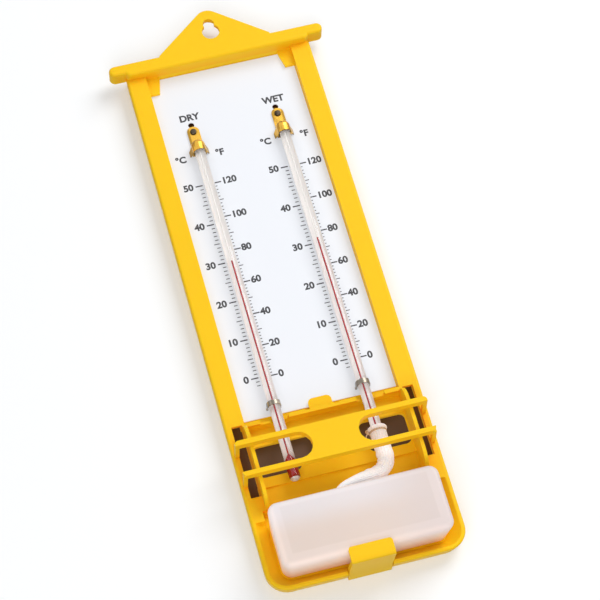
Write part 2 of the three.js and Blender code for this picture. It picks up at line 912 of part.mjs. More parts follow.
// Saddle: a steel band round the stem. Its legs narrow to prongs that pass through the plate
// and spread behind it.
function saddleSolid(x) {
  const inner = stemRadius + saddleClearance;
  const outer = inner + saddleThickness;
  const [low, high] = [saddleHeight - saddleWidth / 2, saddleHeight + saddleWidth / 2];
  const band = prism(circleShape(x, stemDepth, outer), [low, high]);
  const bore = prism(circleShape(x, stemDepth, inner), [low - overrun, high + overrun]);
  const sides = [x - 2 * outer, x + 2 * outer];
  const behind = block(sides, [0, stemDepth], [low - overrun, high + overrun]);
  const arch = cut(band, bore, behind);
  const footBack = panelSetback - seatGap - saddleThickness;
  const prong = [saddleHeight - prongWidth / 2, saddleHeight + prongWidth / 2];
  const pieces = [-1, 1].flatMap((side) => {
    const leg = side > 0 ? [x + inner, x + outer] : [x - outer, x - inner];
    const reach = saddleFootReach + saddleThickness;
    const foot = side > 0 ? [x + inner, x + inner + reach] : [x - inner - reach, x - inner];
    return [
      block(leg, [plateFront + prongShoulder, stemDepth], [low, high]),
      block(leg, [footBack, stemDepth], prong),
      block(foot, [footBack, footBack + saddleThickness], prong),
    ];
  });
  return joined(arch, ...pieces);
}

// Wick: a sleeve over the wet bulb that bends away below it and dips into the reservoir

function wickRoute() {
  const { lerp } = THREE.MathUtils;
  const bend = wickBendShares.map(([across, forward, down, thin]) => [
    lerp(stemX, wickDipX, across),
    lerp(stemDepth, slotCentreDepth, forward),
    lerp(bulbBottom, tankTop, down),
    lerp(wickBendRadius, wickTailRadius, thin),
  ]);
  return [
    [stemX, stemDepth, sleeveTop, sleeveRadius + sleeveFlare],
    [stemX, stemDepth, sleeveTop - sleeveCollar, sleeveRadius],
    [stemX, stemDepth, (sleeveTop + bulbBottom) / 2, sleeveRadius],
    [stemX, stemDepth, bulbBottom + stemRadius / 2, sleeveRadius],
    ...bend,
    [wickDipX, slotCentreDepth, waterLevel + wickTailRadius, wickTailRadius],
    [wickDipX, slotCentreDepth, waterLevel - wickTailDepth / 2, wickTailRadius],
  ];
}

function wickBody(extra) {
  const route = wickRoute();
  const points = route.map(([x, depth, z]) => new THREE.Vector3(x, -depth, z));
  const curve = new THREE.CatmullRomCurve3(points, false, "centripetal");
  const steps = wickStepsPerSpan * (route.length - 1);
  const rings = [];
  const across = new THREE.Vector3(0, -1, 0);
  for (let i = 0; i <= steps; i += 1) {
    const share = i / steps;
    const centre = curve.getPoint(share);
    const tangent = curve.getTangent(share);
    const at = share * (route.length - 1);
    const low = Math.min(Math.floor(at), route.length - 2);
    const radius = THREE.MathUtils.lerp(route[low][3], route[low + 1][3], at - low) + extra;
    const side = across.clone().cross(tangent).normalize();
    const up = tangent.clone().cross(side).normalize();
    const ring = [];
    for (let j = 0; j < stemSides / 2; j += 1) {
      const angle = (2 * Math.PI * j) / (stemSides / 2);
      const spoke = side.clone().multiplyScalar(radius * Math.cos(angle));
      ring.push(centre.clone().add(spoke).addScaledVector(up, radius * Math.sin(angle)));
    }
    rings.push(ring);
  }
  return loft(rings);
}

function wickSolid() {
  const radius = stemRadius + wickGap;
  const profile = [
    [0, bulbBottom - wickGap],
    [radius, bulbBottom - wickGap],
    [radius, sleeveTop + overrun],
    [0, sleeveTop + overrun],
  ];
  return wickBody(0).subtract(turned(profile, [stemX, stemDepth], stemSides));
}

// Tie: one thread wound round the sleeve's top
function tieSolid() {
  const radius = sleeveRadius + sleeveFlare / 2 + tieCordRadius + seatGap;
  const steps = Math.round(tieTurns * stemSides);
  const points = [];
  for (let i = 0; i <= steps; i += 1) {
    const angle = (2 * Math.PI * i) / stemSides;
    const height = tieHeight + (tiePitch * i) / stemSides - (tiePitch * tieTurns) / 2;
    const [x, y] = [radius * Math.cos(angle), radius * Math.sin(angle)];
    points.push(new THREE.Vector3(stemX + x, y - stemDepth, height));
  }
  const curve = new THREE.CatmullRomCurve3(points);
  const section = new THREE.Shape();
  for (let i = 0; i < tieCordSides; i += 1) {
    const angle = (2 * Math.PI * i) / tieCordSides;
    const x = tieCordRadius * Math.cos(angle);
    const y = tieCordRadius * Math.sin(angle);
    if (i === 0) {
      section.moveTo(x, y);
    } else {
      section.lineTo(x, y);
    }
  }
  return solid(new THREE.ExtrudeGeometry(section, { steps, extrudePath: curve, bevelEnabled: false }));
}

// Materials

function paint(color, roughness, metalness = 0, opacity = 1) {
  return new THREE.MeshStandardMaterial({
    color,
    roughness,
    metalness,
    opacity,
    transparent: opacity < 1,
    flatShading: true,
  });
}

const yellowPlastic = paint(0xffd03c, 0.45);
const whitePlate = paint(0xf4f6fa, 0.5);
const glass = paint(0xf2f6f6, 0.05, 0, 0.4);
const redSpirit = paint(0xd8324a, 0.3);
const brass = paint(0xd9a63a, 0.25, 1);
const darkMetal = paint(0x5a4a36, 0.4, 1);
const steel = paint(0xb9b4a8, 0.25, 1);
const milkyPlastic = paint(0xe6dcd8, 0.4, 0, 0.8);
const water = paint(0xe4f0f4, 0.05, 0, 0.5);
const cotton = paint(0xf4efe8, 0.95);
const thread = paint(0xd9b98c, 0.9);

// Assembly

const hygrometer = new THREE.Group();
hygrometer.name = "hygrometer";
hygrometer.position.z = -mountHeight;

function place(name, manifold, material) {
  const mesh = new THREE.Mesh(geometryOf(manifold), material);
  mesh.name = name;
  hygrometer.add(mesh);
}

place("case", caseSolid(), yellowPlastic);
place("bulb_guard", guardSolid(), yellowPlastic);
place("scale_plate", scalePlateSolid(), whitePlate);
place("reservoir", reservoirSolid(), milkyPlastic);
place("reservoir_water", waterSolid(), water);
place("reservoir_clip", clipSolid(), yellowPlastic);

const thermometers = [
  { name: "dry", x: -stemX, reading: dryReading },
  { name: "wet", x: stemX, reading: wetReading },
];
for (const { name, x, reading } of thermometers) {
  place(`${name}_glass_stem`, stemSolid(x), glass);
  place(`${name}_bulb_spirit`, bulbSpiritSolid(x), redSpirit);
  place(`${name}_spirit_column`, columnSolid(x, reading), redSpirit);
  place(`${name}_top_clip`, topClipSolid(x), brass);
  place(`${name}_clip_screw`, screwSolid(x), darkMetal);
  place(`${name}_saddle`, saddleSolid(x), steel);
}

place("wick", wickSolid(), cotton);
place("wick_tie", tieSolid(), thread);

hygrometer.updateMatrixWorld(true);

export default hygrometer;
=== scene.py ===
import math

import bmesh
import bpy
from mathutils import Matrix, Vector


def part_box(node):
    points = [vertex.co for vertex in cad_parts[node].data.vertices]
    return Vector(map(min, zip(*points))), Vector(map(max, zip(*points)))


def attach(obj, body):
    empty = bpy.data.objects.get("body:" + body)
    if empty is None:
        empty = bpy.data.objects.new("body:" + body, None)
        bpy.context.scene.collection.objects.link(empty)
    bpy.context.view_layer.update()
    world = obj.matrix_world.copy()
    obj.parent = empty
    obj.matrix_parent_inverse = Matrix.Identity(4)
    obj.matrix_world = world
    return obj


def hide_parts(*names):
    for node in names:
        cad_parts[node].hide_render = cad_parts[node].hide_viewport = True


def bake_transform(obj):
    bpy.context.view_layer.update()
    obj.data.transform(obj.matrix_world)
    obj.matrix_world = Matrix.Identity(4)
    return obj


bl_info = {
    "name": "Wet and dry bulb hygrometer",
    "version": (1, 0, 0),
    "blender": (4, 5, 0),
    "location": "3D View > Sidebar > Hygrometer",
    "description": "Dresses the hygrometer's solids: case, print, glass, brass, cotton and water",
    "category": "Object",
}

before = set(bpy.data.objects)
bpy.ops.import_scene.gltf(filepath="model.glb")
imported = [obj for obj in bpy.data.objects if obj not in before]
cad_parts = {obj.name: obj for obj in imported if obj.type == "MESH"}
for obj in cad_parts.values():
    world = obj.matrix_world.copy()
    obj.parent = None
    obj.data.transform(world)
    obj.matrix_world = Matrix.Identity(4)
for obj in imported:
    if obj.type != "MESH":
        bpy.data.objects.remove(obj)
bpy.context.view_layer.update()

MM = 0.001

# Places read from the solids
PLATE_LOW, PLATE_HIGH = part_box("scale_plate")
TANK_LOW, TANK_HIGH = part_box("reservoir")
STEM_BOXES = {side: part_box(side + "_glass_stem") for side in ("dry", "wet")}
COLUMN_BOXES = {side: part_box(side + "_spirit_column") for side in ("dry", "wet")}


# Settings


def color_setting(name, description, default):
    return bpy.props.FloatVectorProperty(
        name=name, description=description, default=default, size=3, subtype="COLOR"
    )


def length_setting(name, description, default):
    return bpy.props.FloatProperty(
        name=name, description=description, default=default, unit="LENGTH"
    )


def angle_setting(name, description, degrees):
    return bpy.props.FloatProperty(
        name=name, description=description, default=math.radians(degrees), subtype="ANGLE"
    )


class HygroStageSettings(bpy.types.PropertyGroup):
    """Camera and light, as in a product photograph of the hygrometer laid flat."""

    lens: bpy.props.FloatProperty(
        name="Lens", description="Focal length for a 36 mm wide sensor", default=147.1, min=20
    )
    distance: length_setting("Distance", "From the camera to the aim, along its axis", 1.2353)
    roll: angle_setting("Roll", "Turn of the picture", -16.9)
    pitch: angle_setting("Pitch", "How far the camera looks up at the front", -26)
    yaw: angle_setting("Yaw", "How far the camera stands to the left", -8.51)
    aim: bpy.props.FloatVectorProperty(
        name="Aim",
        description="Point that the camera is placed from",
        default=(0, -0.0053, 0.099),
        subtype="XYZ",
        unit="LENGTH",
    )
    aim_pixel: bpy.props.FloatVectorProperty(
        name="Aim pixel",
        description="Where the aim shows in a picture 600 pixels wide",
        default=(306.03, 357.0),
        size=2,
    )
    floor_color: color_setting("Floor", "Colour of the floor", (0.97, 0.985, 1.0))
    # Painted shade: the floor that the case covers is dark.
    under_color: color_setting("Under the case", "Floor that the case covers", (0.12, 0.07, 0.045))
    white_share: bpy.props.FloatProperty(
        name="White floor",
        description="Share of the floor's look that is plain white",
        default=0.2,
        min=0,
        max=1,
    )
    world_strength: bpy.props.FloatProperty(
        name="Soft light", description="Light from all round", default=0.45, min=0
    )
    key_power: bpy.props.FloatProperty(
        name="Key", description="Lamp at the upper right", default=12, unit="POWER", min=0
    )
    fill_power: bpy.props.FloatProperty(
        name="Fill", description="Lamp at the lower left", default=7, unit="POWER", min=0
    )


class HygroColourSettings(bpy.types.PropertyGroup):
    """Colours of the parts."""

    yellow: color_setting("Yellow plastic", "Case, guard and clip", (1.0, 0.6, 0.012))
    plate: color_setting("Scale plate", "White plate under the thermometers", (0.82, 0.845, 0.9))
    ink: color_setting("Ink", "Print on the plate", (0.03, 0.03, 0.035))
    spirit: color_setting("Spirit", "Red spirit in bulbs and stems", (0.46, 0.006, 0.016))
    brass: color_setting("Brass", "Clips at the stems' tops", (0.8, 0.46, 0.07))
    steel: color_setting("Steel", "Saddles at the stems' feet", (0.47, 0.41, 0.33))
    milky: color_setting("Milky plastic", "Reservoir", (0.88, 0.81, 0.81))
    cotton: color_setting("Cotton", "Wick", (1.0, 0.97, 0.98))
    thread: color_setting("Thread", "Tie round the wick", (0.78, 0.6, 0.42))


class HygroPrintSettings(bpy.types.PropertyGroup):
    """Print on the scale plate."""

    dry_zero: length_setting("Dry zero", "Height of nought degrees C on the left", 0.0939)
    wet_zero: length_setting("Wet zero", "Height of nought degrees C on the right", 0.0925)
    top_height: length_setting("Top", "Height of 50 degrees C and 120 degrees F", 0.2087)
    number_size: length_setting("Numbers", "Size of the scale's numbers", 0.0052)
    word_size: length_setting("Words", "Size of DRY and WET", 0.0054)
    ink_thickness: length_setting("Ink", "Thickness of the print", 0.00003)


# Yellow plastic: reach of the painted shade in sheltered places, and the depths of the case in the
# cage, where that painted shade is deeper and warmer
SHELTER_REACH = 14 * MM
CASE_FRONT = -17 * MM
CASE_WALL = -9 * MM
CASE_BACK = -8.4 * MM
TRAY_FADE = 4 * MM
SHELTER_SHADE_TINT = (1.0, 0.97, 0.6)
CAGE_SHADE_TINT = (1.0, 0.57, 0.25)

# Painted shade, dark, in the small holes above the brass clips
HOLE_ABOVE_SCREW = 4 * MM
HOLE_REACH = 2.6 * MM
HOLE_SHADE = (0.05, 0.018, 0.01)

# Share of the plate's white that is painted light, a glow that shows evenly whatever falls on it
PLATE_PAINTED_LIGHT = 0.36
PLATE_PAINTED_LIGHT_COLOR = (0.9, 0.92, 0.96, 1)

# Metals: reach of the painted shade in corners, and its tone
CORNER_REACH = 1.1 * MM
CORNER_SHADE_TONE = 0.12

# Reservoir: where its water shows, where shade is painted to its right, and where the case's yellow
# light is painted in it from behind
WATER_TOP = TANK_HIGH.z - 5 * MM
WATER_FULL = TANK_HIGH.z - 20 * MM
PAINTED_YELLOW_LIGHT_DEPTH = 2.5 * MM
WATER_TINT = (0.96, 0.87, 0.78)
PAINTED_SHADE_TINT = (0.86, 0.8, 0.76)
PAINTED_YELLOW_LIGHT_TINT = (1.1, 0.8, 0.5)
CLOUD_TINT = (0.9, 0.85, 0.83)

# Reservoir: its walls as seen from the front, and the painted light, a glow, in its walls and along
# its edges
SIDE_WALL = 6.5 * MM
TOP_WALL = 4 * MM
FOOT_WALL = 7 * MM
WALL_FADE = 1 * MM
WALL_PAINTED_LIGHT = (0.035, 0.035, 0.04)
EDGE_PAINTED_LIGHT_DEPTH = 4 * MM
EDGE_PAINTED_LIGHT = (0.19, 0.16, 0.15)

# Knit of the wick: ribs round it, rows of stitches along it, and painted light, a glow in its yarn
WALES = 20
STITCH_ROWS = 150
YARN_PAINTED_LIGHT = 0.14
YARN_PAINTED_LIGHT_COLOR = (0.95, 0.9, 1.0, 1)


# Materials


def chosen(name):
    """Colour of a part, as it is set in the panel's settings."""
    return tuple(getattr(bpy.context.scene.hygro_colours, name))


def new_material(name):
    material = bpy.data.materials.new(name)
    material.use_nodes = True
    tree = material.node_tree
    tree.nodes.clear()
    output = tree.nodes.new("ShaderNodeOutputMaterial")
    shader = tree.nodes.new("ShaderNodeBsdfPrincipled")
    tree.links.new(shader.outputs["BSDF"], output.inputs["Surface"])
    return material, tree, shader


def mapped(tree, scale=(1, 1, 1), source="Object"):
    """Places in the object's own axes, or on its map, times the scale."""
    coordinates = tree.nodes.new("ShaderNodeTexCoord")
    mapping = tree.nodes.new("ShaderNodeMapping")
    mapping.inputs["Scale"].default_value = scale
    tree.links.new(coordinates.outputs[source], mapping.inputs["Vector"])
    return mapping.outputs["Vector"]


def split_vector(tree, vector):
    apart = tree.nodes.new("ShaderNodeSeparateXYZ")
    tree.links.new(vector, apart.inputs["Vector"])
    return apart.outputs["X"], apart.outputs["Y"], apart.outputs["Z"]


def noise(tree, vector, scale, detail, roughness=0.5):
    texture = tree.nodes.new("ShaderNodeTexNoise")
    texture.inputs["Scale"].default_value = scale
    texture.inputs["Detail"].default_value = detail
    texture.inputs["Roughness"].default_value = roughness
    tree.links.new(vector, texture.inputs["Vector"])
    return texture.outputs["Fac"]


def ranged(tree, value, low, high):
    stretch = tree.nodes.new("ShaderNodeMapRange")
    stretch.inputs["To Min"].default_value = low
    stretch.inputs["To Max"].default_value = high
    tree.links.new(value, stretch.inputs["Value"])
    return stretch.outputs["Result"]


def bumped(tree, shader, height, strength, distance):
    bump = tree.nodes.new("ShaderNodeBump")
    bump.inputs["Strength"].default_value = strength
    bump.inputs["Distance"].default_value = distance
    tree.links.new(height, bump.inputs["Height"])
    tree.links.new(bump.outputs["Normal"], shader.inputs["Normal"])


def scaled_color(color, factor):
    factors = factor if isinstance(factor, tuple) else (factor,) * 3
    return tuple(min(1.0, channel * share) for channel, share in zip(color, factors))


def spanned(tree, value, start, stop):
    """Nought at the start and one at the stop, with a soft slope between them."""
    stretch = tree.nodes.new("ShaderNodeMapRange")
    stretch.interpolation_type = "SMOOTHSTEP"
    stretch.inputs["From Min"].default_value = start
    stretch.inputs["From Max"].default_value = stop
    tree.links.new(value, stretch.inputs["Value"])
    return stretch.outputs["Result"]


def color_mix(tree, factor, first, second):
    mix = tree.nodes.new("ShaderNodeMix")
    mix.data_type = "RGBA"
    tree.links.new(factor, mix.inputs["Factor"])
    for color, socket in ((first, mix.inputs["A"]), (second, mix.inputs["B"])):
        if isinstance(color, tuple):
            socket.default_value = (*color, 1)
        else:
            tree.links.new(color, socket)
    return mix.outputs["Result"]


def math_node(tree, operation, first, second):
    node = tree.nodes.new("ShaderNodeMath")
    node.operation = operation
    for value, socket in zip((first, second), node.inputs):
        if isinstance(value, (int, float)):
            socket.default_value = value
        else:
            tree.links.new(value, socket)
    return node.outputs["Value"]


def tinted(tree, shader, factor, dark, light):
    tree.links.new(color_mix(tree, factor, dark, light), shader.inputs["Base Color"])


def set_inputs(shader, values):
    for name, value in values.items():
        shader.inputs[name].default_value = value


def openness(tree, reach):
    """Nought in a corner and one in the open, for painting shade into a colour."""
    node = tree.nodes.new("ShaderNodeAmbientOcclusion")
    node.samples = 4
    node.inputs["Distance"].default_value = reach
    return node.outputs["AO"]


def soft_depth(shader, weight, radius, scale):
    """Lets light into a surface and out again near by."""
    values = {
        "Subsurface Weight": weight,
        "Subsurface Radius": radius,
        "Subsurface Scale": scale,
    }
    set_inputs(shader, values)


def hole_shade(tree, vector):
    """One on the case inside the plate's two small holes, and nought elsewhere; there dark shade is
    painted.
    """
    low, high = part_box("wet_clip_screw")
    height = (low.z + high.z) / 2 + HOLE_ABOVE_SCREW
    x, _, z = split_vector(tree, vector)
    across = math_node(tree, "ABSOLUTE", x, 0)
    across = math_node(tree, "SUBTRACT", across, (low.x + high.x) / 2)
    across = math_node(tree, "MULTIPLY", across, across)
    along = math_node(tree, "SUBTRACT", z, height)
    along = math_node(tree, "MULTIPLY", along, along)
    away = math_node(tree, "ADD", across, along)
    return math_node(tree, "LESS_THAN", away, HOLE_REACH**2)


def cage_depth(tree, vector):
    """One at the case's wall above the reservoir, and nought at its front, below and behind; there
    the painted shade is deeper and warmer.
    """
    _, y, z = split_vector(tree, vector)
    inward = spanned(tree, y, CASE_FRONT, CASE_WALL)
    above = spanned(tree, z, TANK_HIGH.z - TRAY_FADE, TANK_HIGH.z + TRAY_FADE)
    ahead = math_node(tree, "LESS_THAN", y, CASE_BACK)
    inward = math_node(tree, "MULTIPLY", inward, above)
    return math_node(tree, "MULTIPLY", inward, ahead)


def yellow_plastic():
    """Yellow plastic with painted shade: deeper in tone where it is sheltered, most of all in the
    cage, and dark in the two small holes.
    """
    color = chosen("yellow")
    material, tree, shader = new_material("yellow_plastic")
    vector = mapped(tree)
    cloud = noise(tree, vector, scale=28, detail=3)
    # Painted shade: sheltered places take a darker, warmer tone, warmest on the cage's wall.
    shade_tints = [scaled_color(color, tint) for tint in (SHELTER_SHADE_TINT, CAGE_SHADE_TINT)]
    painted_shade = color_mix(tree, cage_depth(tree, vector), *shade_tints)
    even = color_mix(tree, cloud, scaled_color(color, 0.97), color)
    tone = color_mix(tree, openness(tree, SHELTER_REACH), painted_shade, even)
    # Painted shade: the two small holes are dark.
    tone = color_mix(tree, hole_shade(tree, vector), tone, HOLE_SHADE)
    tree.links.new(tone, shader.inputs["Base Color"])
    tree.links.new(ranged(tree, cloud, low=0.4, high=0.5), shader.inputs["Roughness"])
    shader.inputs["Specular IOR Level"].default_value = 0.12
    soft_depth(shader, 0.35, (1.0, 0.45, 0.05), 2.5 * MM)
    grain = noise(tree, vector, scale=5200, detail=2, roughness=0.6)
    bumped(tree, shader, grain, strength=0.1, distance=0.04 * MM)
    return material


def plate_white():
    # Painted light: part of the plate's white is a glow, which evens out the shade that falls on
    # it.
    color = scaled_color(chosen("plate"), 1 - PLATE_PAINTED_LIGHT)
    material, tree, shader = new_material("plate_white")
    cloud = noise(tree, mapped(tree), scale=40, detail=2)
    tinted(tree, shader, cloud, scaled_color(color, 0.985), color)
    tree.links.new(ranged(tree, cloud, low=0.4, high=0.5), shader.inputs["Roughness"])
    set_inputs(shader, {"Emission Color": PLATE_PAINTED_LIGHT_COLOR, "Emission Strength": PLATE_PAINTED_LIGHT})
    return material


def print_ink():
    color = chosen("ink")
    material, tree, shader = new_material("print_ink")
    patch = noise(tree, mapped(tree), scale=900, detail=2)
    tinted(tree, shader, patch, color, scaled_color(color, 1.5))
    shader.inputs["Roughness"].default_value = 0.5
    return material


def clear_glass():
    material, tree, shader = new_material("clear_glass")
    streak = noise(tree, mapped(tree, (1, 1, 0.05)), scale=500, detail=1)
    tinted(tree, shader, streak, (0.97, 0.975, 0.97), (1.0, 1.0, 1.0))
    set_inputs(shader, {"Transmission Weight": 1.0, "IOR": 1.47, "Roughness": 0.03})
    return material


def white_enamel():
    material, tree, shader = new_material("white_enamel")
    streak = noise(tree, mapped(tree, (1, 1, 0.05)), scale=700, detail=2)
    tinted(tree, shader, streak, (0.92, 0.88, 0.86), (0.98, 0.95, 0.93))
    shader.inputs["Roughness"].default_value = 0.4
    return material


def red_spirit():
    color = chosen("spirit")
    material, tree, shader = new_material("red_spirit")
    streak = noise(tree, mapped(tree, (1, 1, 0.1)), scale=300, detail=1)
    tinted(tree, shader, streak, scaled_color(color, 0.85), color)
    set_inputs(shader, {"Roughness": 0.08, "Specular IOR Level": 0.2})
    return material


def bright_metal(name, color, low, high):
    """Metal with scratches, broad dark and bright reflections painted into its colour, and painted
    shade in its corners.
    """
    material, tree, shader = new_material(name)
    vector = mapped(tree, (1, 1, 0.15))
    # Painted reflection: broad dark and bright patches in the colour.
    painted_reflection = spanned(tree, noise(tree, vector, scale=420, detail=1), 0.44, 0.56)
    bright = color_mix(tree, painted_reflection, scaled_color(color, 0.5), color)
    # Painted shade in the corners.
    corner_shade = scaled_color(color, CORNER_SHADE_TONE)
    tone = color_mix(tree, openness(tree, CORNER_REACH), corner_shade, bright)
    tree.links.new(tone, shader.inputs["Base Color"])
    shader.inputs["Metallic"].default_value = 1.0
    scratch = noise(tree, vector, scale=2600, detail=3)
    tree.links.new(ranged(tree, scratch, low, high), shader.inputs["Roughness"])
    bumped(tree, shader, scratch, strength=0.03, distance=0.02 * MM)
    return material


def wall_light(tree, x, z):
    """Painted light: a glow in the reservoir's walls, strongest along its lower and left edges."""
    foot = spanned(tree, z, TANK_LOW.z + EDGE_PAINTED_LIGHT_DEPTH, TANK_LOW.z)
    left = spanned(tree, x, TANK_LOW.x + EDGE_PAINTED_LIGHT_DEPTH, TANK_LOW.x)
    edge = math_node(tree, "MAXIMUM", foot, left)
    inner = TANK_HIGH.x - SIDE_WALL
    under_top = TANK_HIGH.z - TOP_WALL
    over_foot = TANK_LOW.z + FOOT_WALL
    across = math_node(tree, "ABSOLUTE", x, 0)
    side = spanned(tree, across, inner, inner + WALL_FADE)
    top = spanned(tree, z, under_top, under_top + WALL_FADE)
    bottom = spanned(tree, z, over_foot, over_foot - WALL_FADE)
    ends = math_node(tree, "MAXIMUM", top, bottom)
    wall = math_node(tree, "MAXIMUM", side, ends)
    light = color_mix(tree, wall, (0.0, 0.0, 0.0), WALL_PAINTED_LIGHT)
    return color_mix(tree, edge, light, EDGE_PAINTED_LIGHT)


def milky_plastic():
    """Milky plastic: warmer where the water stands, with painted shade to the right, painted yellow
    light behind and a painted glow in its walls.
    """
    color = chosen("milky")
    material, tree, shader = new_material("milky_plastic")
    vector = mapped(tree)
    cloud = noise(tree, vector, scale=60, detail=2)
    x, y, z = split_vector(tree, vector)
    tone = color
    # After the water's tone: painted shade to the right, and the case's yellow light painted in
    # from behind.
    for place, start, stop, tint in (
        (z, WATER_TOP, WATER_FULL, WATER_TINT),
        (x, 0, TANK_HIGH.x, PAINTED_SHADE_TINT),
        (y, TANK_LOW.y + PAINTED_YELLOW_LIGHT_DEPTH, TANK_HIGH.y, PAINTED_YELLOW_LIGHT_TINT),
    ):
        share = spanned(tree, place, start, stop)
        tone = color_mix(tree, share, tone, scaled_color(color, tint))
    clouded = ranged(tree, cloud, low=0, high=0.06)
    tone = color_mix(tree, clouded, tone, scaled_color(color, CLOUD_TINT))
    tree.links.new(tone, shader.inputs["Base Color"])
    # Painted light: the walls and edges glow.
    tree.links.new(wall_light(tree, x, z), shader.inputs["Emission Color"])
    set_inputs(shader, {"Emission Strength": 1.0, "Transmission Weight": 0.1})
    soft_depth(shader, 0.4, (1.0, 0.8, 0.7), 2.2 * MM)
    shader.inputs["IOR"].default_value = 1.45
    tree.links.new(ranged(tree, cloud, low=0.3, high=0.36), shader.inputs["Roughness"])
    return material


def clear_water():
    material, tree, shader = new_material("clear_water")
    ripple = noise(tree, mapped(tree), scale=120, detail=1)
    values = {
        "Base Color": (0.86, 0.78, 0.7, 1),
        "Transmission Weight": 0.7,
        "IOR": 1.33,
        "Roughness": 0.2,
    }
    set_inputs(shader, values)
    bumped(tree, shader, ripple, strength=0.05, distance=0.2 * MM)
    return material


def knitted_cotton():
    """Cotton with rows of stitches that follow the wick's own map, and a painted glow."""
    color = chosen("cotton")
    material, tree, shader = new_material("knitted_cotton")
    fibre = noise(tree, mapped(tree), scale=2200, detail=4, roughness=0.7)
    stitch = tree.nodes.new("ShaderNodeTexVoronoi")
    stitch.inputs["Scale"].default_value = 1
    stitch.inputs["Randomness"].default_value = 0.35
    tree.links.new(mapped(tree, (WALES, STITCH_ROWS, 1), "UV"), stitch.inputs["Vector"])
    tinted(tree, shader, fibre, scaled_color(color, 0.9), scaled_color(color, 1.06))
    # Painted light: the cotton glows a little.
    values = {
        "Emission Color": YARN_PAINTED_LIGHT_COLOR,
        "Emission Strength": YARN_PAINTED_LIGHT,
        "Roughness": 0.95,
        "Sheen Weight": 0.5,
    }
    set_inputs(shader, values)
    soft_depth(shader, 0.3, (1.0, 0.8, 0.7), 1.5 * MM)
    knit = math_node(tree, "SUBTRACT", fibre, stitch.outputs["Distance"])
    bumped(tree, shader, knit, strength=0.7, distance=0.3 * MM)
    return material


def twisted_thread():
    color = chosen("thread")
    material, tree, shader = new_material("twisted_thread")
    fibre = noise(tree, mapped(tree), scale=3200, detail=3, roughness=0.7)
    tinted(tree, shader, fibre, scaled_color(color, 0.7), scaled_color(color, 1.2))
    shader.inputs["Roughness"].default_value = 0.9
    bumped(tree, shader, fibre, strength=0.8, distance=0.3 * MM)
    return material


def paint(piece, material):
    piece.data.materials.clear()
    piece.data.materials.append(material)


# Mesh helpers


SHARP_ANGLE = math.radians(35)
FLAT_ANGLE = math.radians(0.6)
WELD_DISTANCE = 0.005 * MM


def piece_from(bm, name, material, body, hides=()):
    mesh = bpy.data.meshes.new(name)
    bm.to_mesh(mesh)
    bm.free()
    piece = bpy.data.objects.new(name, mesh)
    bpy.context.scene.collection.objects.link(piece)
    piece.data.materials.append(material)
    if hides:
        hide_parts(*hides)
    if body:
        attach(piece, body)
    return piece


def smooth(piece):
    for polygon in piece.data.polygons:
        polygon.use_smooth = True
    modifier = piece.modifiers.new("Sharp by angle", "NODES")
    modifier.node_group = bpy.data.node_groups.get("Sharp by angle") or sharp_by_angle()


def sharp_by_angle():
    """Geometry nodes that shade smooth, with edges steeper than the angle kept sharp."""
    group = bpy.data.node_groups.new("Sharp by angle", "GeometryNodeTree")
    group.interface.new_socket("Geometry", in_out="INPUT", socket_type="NodeSocketGeometry")
    group.interface.new_socket("Geometry", in_out="OUTPUT", socket_type="NodeSocketGeometry")
    nodes = group.nodes
    links = group.links
    entry = nodes.new("NodeGroupInput")
    leave = nodes.new("NodeGroupOutput")
    faces = nodes.new("GeometryNodeSetShadeSmooth")
    faces.domain = "FACE"
    edges = nodes.new("GeometryNodeSetShadeSmooth")
    edges.domain = "EDGE"
    edges.inputs["Shade Smooth"].default_value = False
    angle = nodes.new("GeometryNodeInputMeshEdgeAngle")
    steep = nodes.new("FunctionNodeCompare")
    steep.data_type = "FLOAT"
    steep.operation = "GREATER_THAN"
    steep.inputs["B"].default_value = SHARP_ANGLE
    links.new(entry.outputs[0], faces.inputs["Geometry"])
    links.new(faces.outputs["Geometry"], edges.inputs["Geometry"])
    links.new(angle.outputs["Unsigned Angle"], steep.inputs["A"])
    links.new(steep.outputs["Result"], edges.inputs["Selection"])
    links.new(edges.outputs["Geometry"], leave.inputs[0])
    return group


def moulded(piece, width, segments=2):
    """Rounds a piece's edges and evens its shading."""
    bevel = piece.modifiers.new("Moulded edges", "BEVEL")
    bevel.width = width
    bevel.segments = segments
    bevel.limit_method = "ANGLE"
    bevel.angle_limit = SHARP_ANGLE
    bevel.profile = 0.5
    bevel.use_clamp_overlap = True
    smooth(piece)
    even = piece.modifiers.new("Even shading", "WEIGHTED_NORMAL")
    even.keep_sharp = True
    even.weight = 50


def welded_node(name):
    """One of the frame's solids, with its loose facets joined."""
    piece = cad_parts[name]
    weld = piece.modifiers.new("Weld", "WELD")
    weld.merge_threshold = WELD_DISTANCE
    return piece


def soften_node(name, width, segments=2):
    """Joins a solid's coplanar facets and rounds its edges."""
    piece = welded_node(name)
    flat = piece.modifiers.new("Flat faces", "DECIMATE")
    flat.decimate_type = "DISSOLVE"
    flat.angle_limit = FLAT_ANGLE
    moulded(piece, width, segments)
    return piece


def turned(bm, profile, centre, steps):
    """Spins a profile of (radius, height) about the vertical through the centre."""
    verts = [bm.verts.new((centre.x + radius, centre.y, height)) for radius, height in profile]
    edges = [bm.edges.new(pair) for pair in zip(verts, verts[1:])]
    bmesh.ops.spin(
        bm,
        geom=verts + edges,
        cent=centre,
        axis=(0, 0, 1),
        angle=2 * math.pi,
        steps=steps,
        use_merge=True,
    )
    bmesh.ops.remove_doubles(bm, verts=bm.verts, dist=0.0005 * MM)
    bmesh.ops.recalc_face_normals(bm, faces=bm.faces)


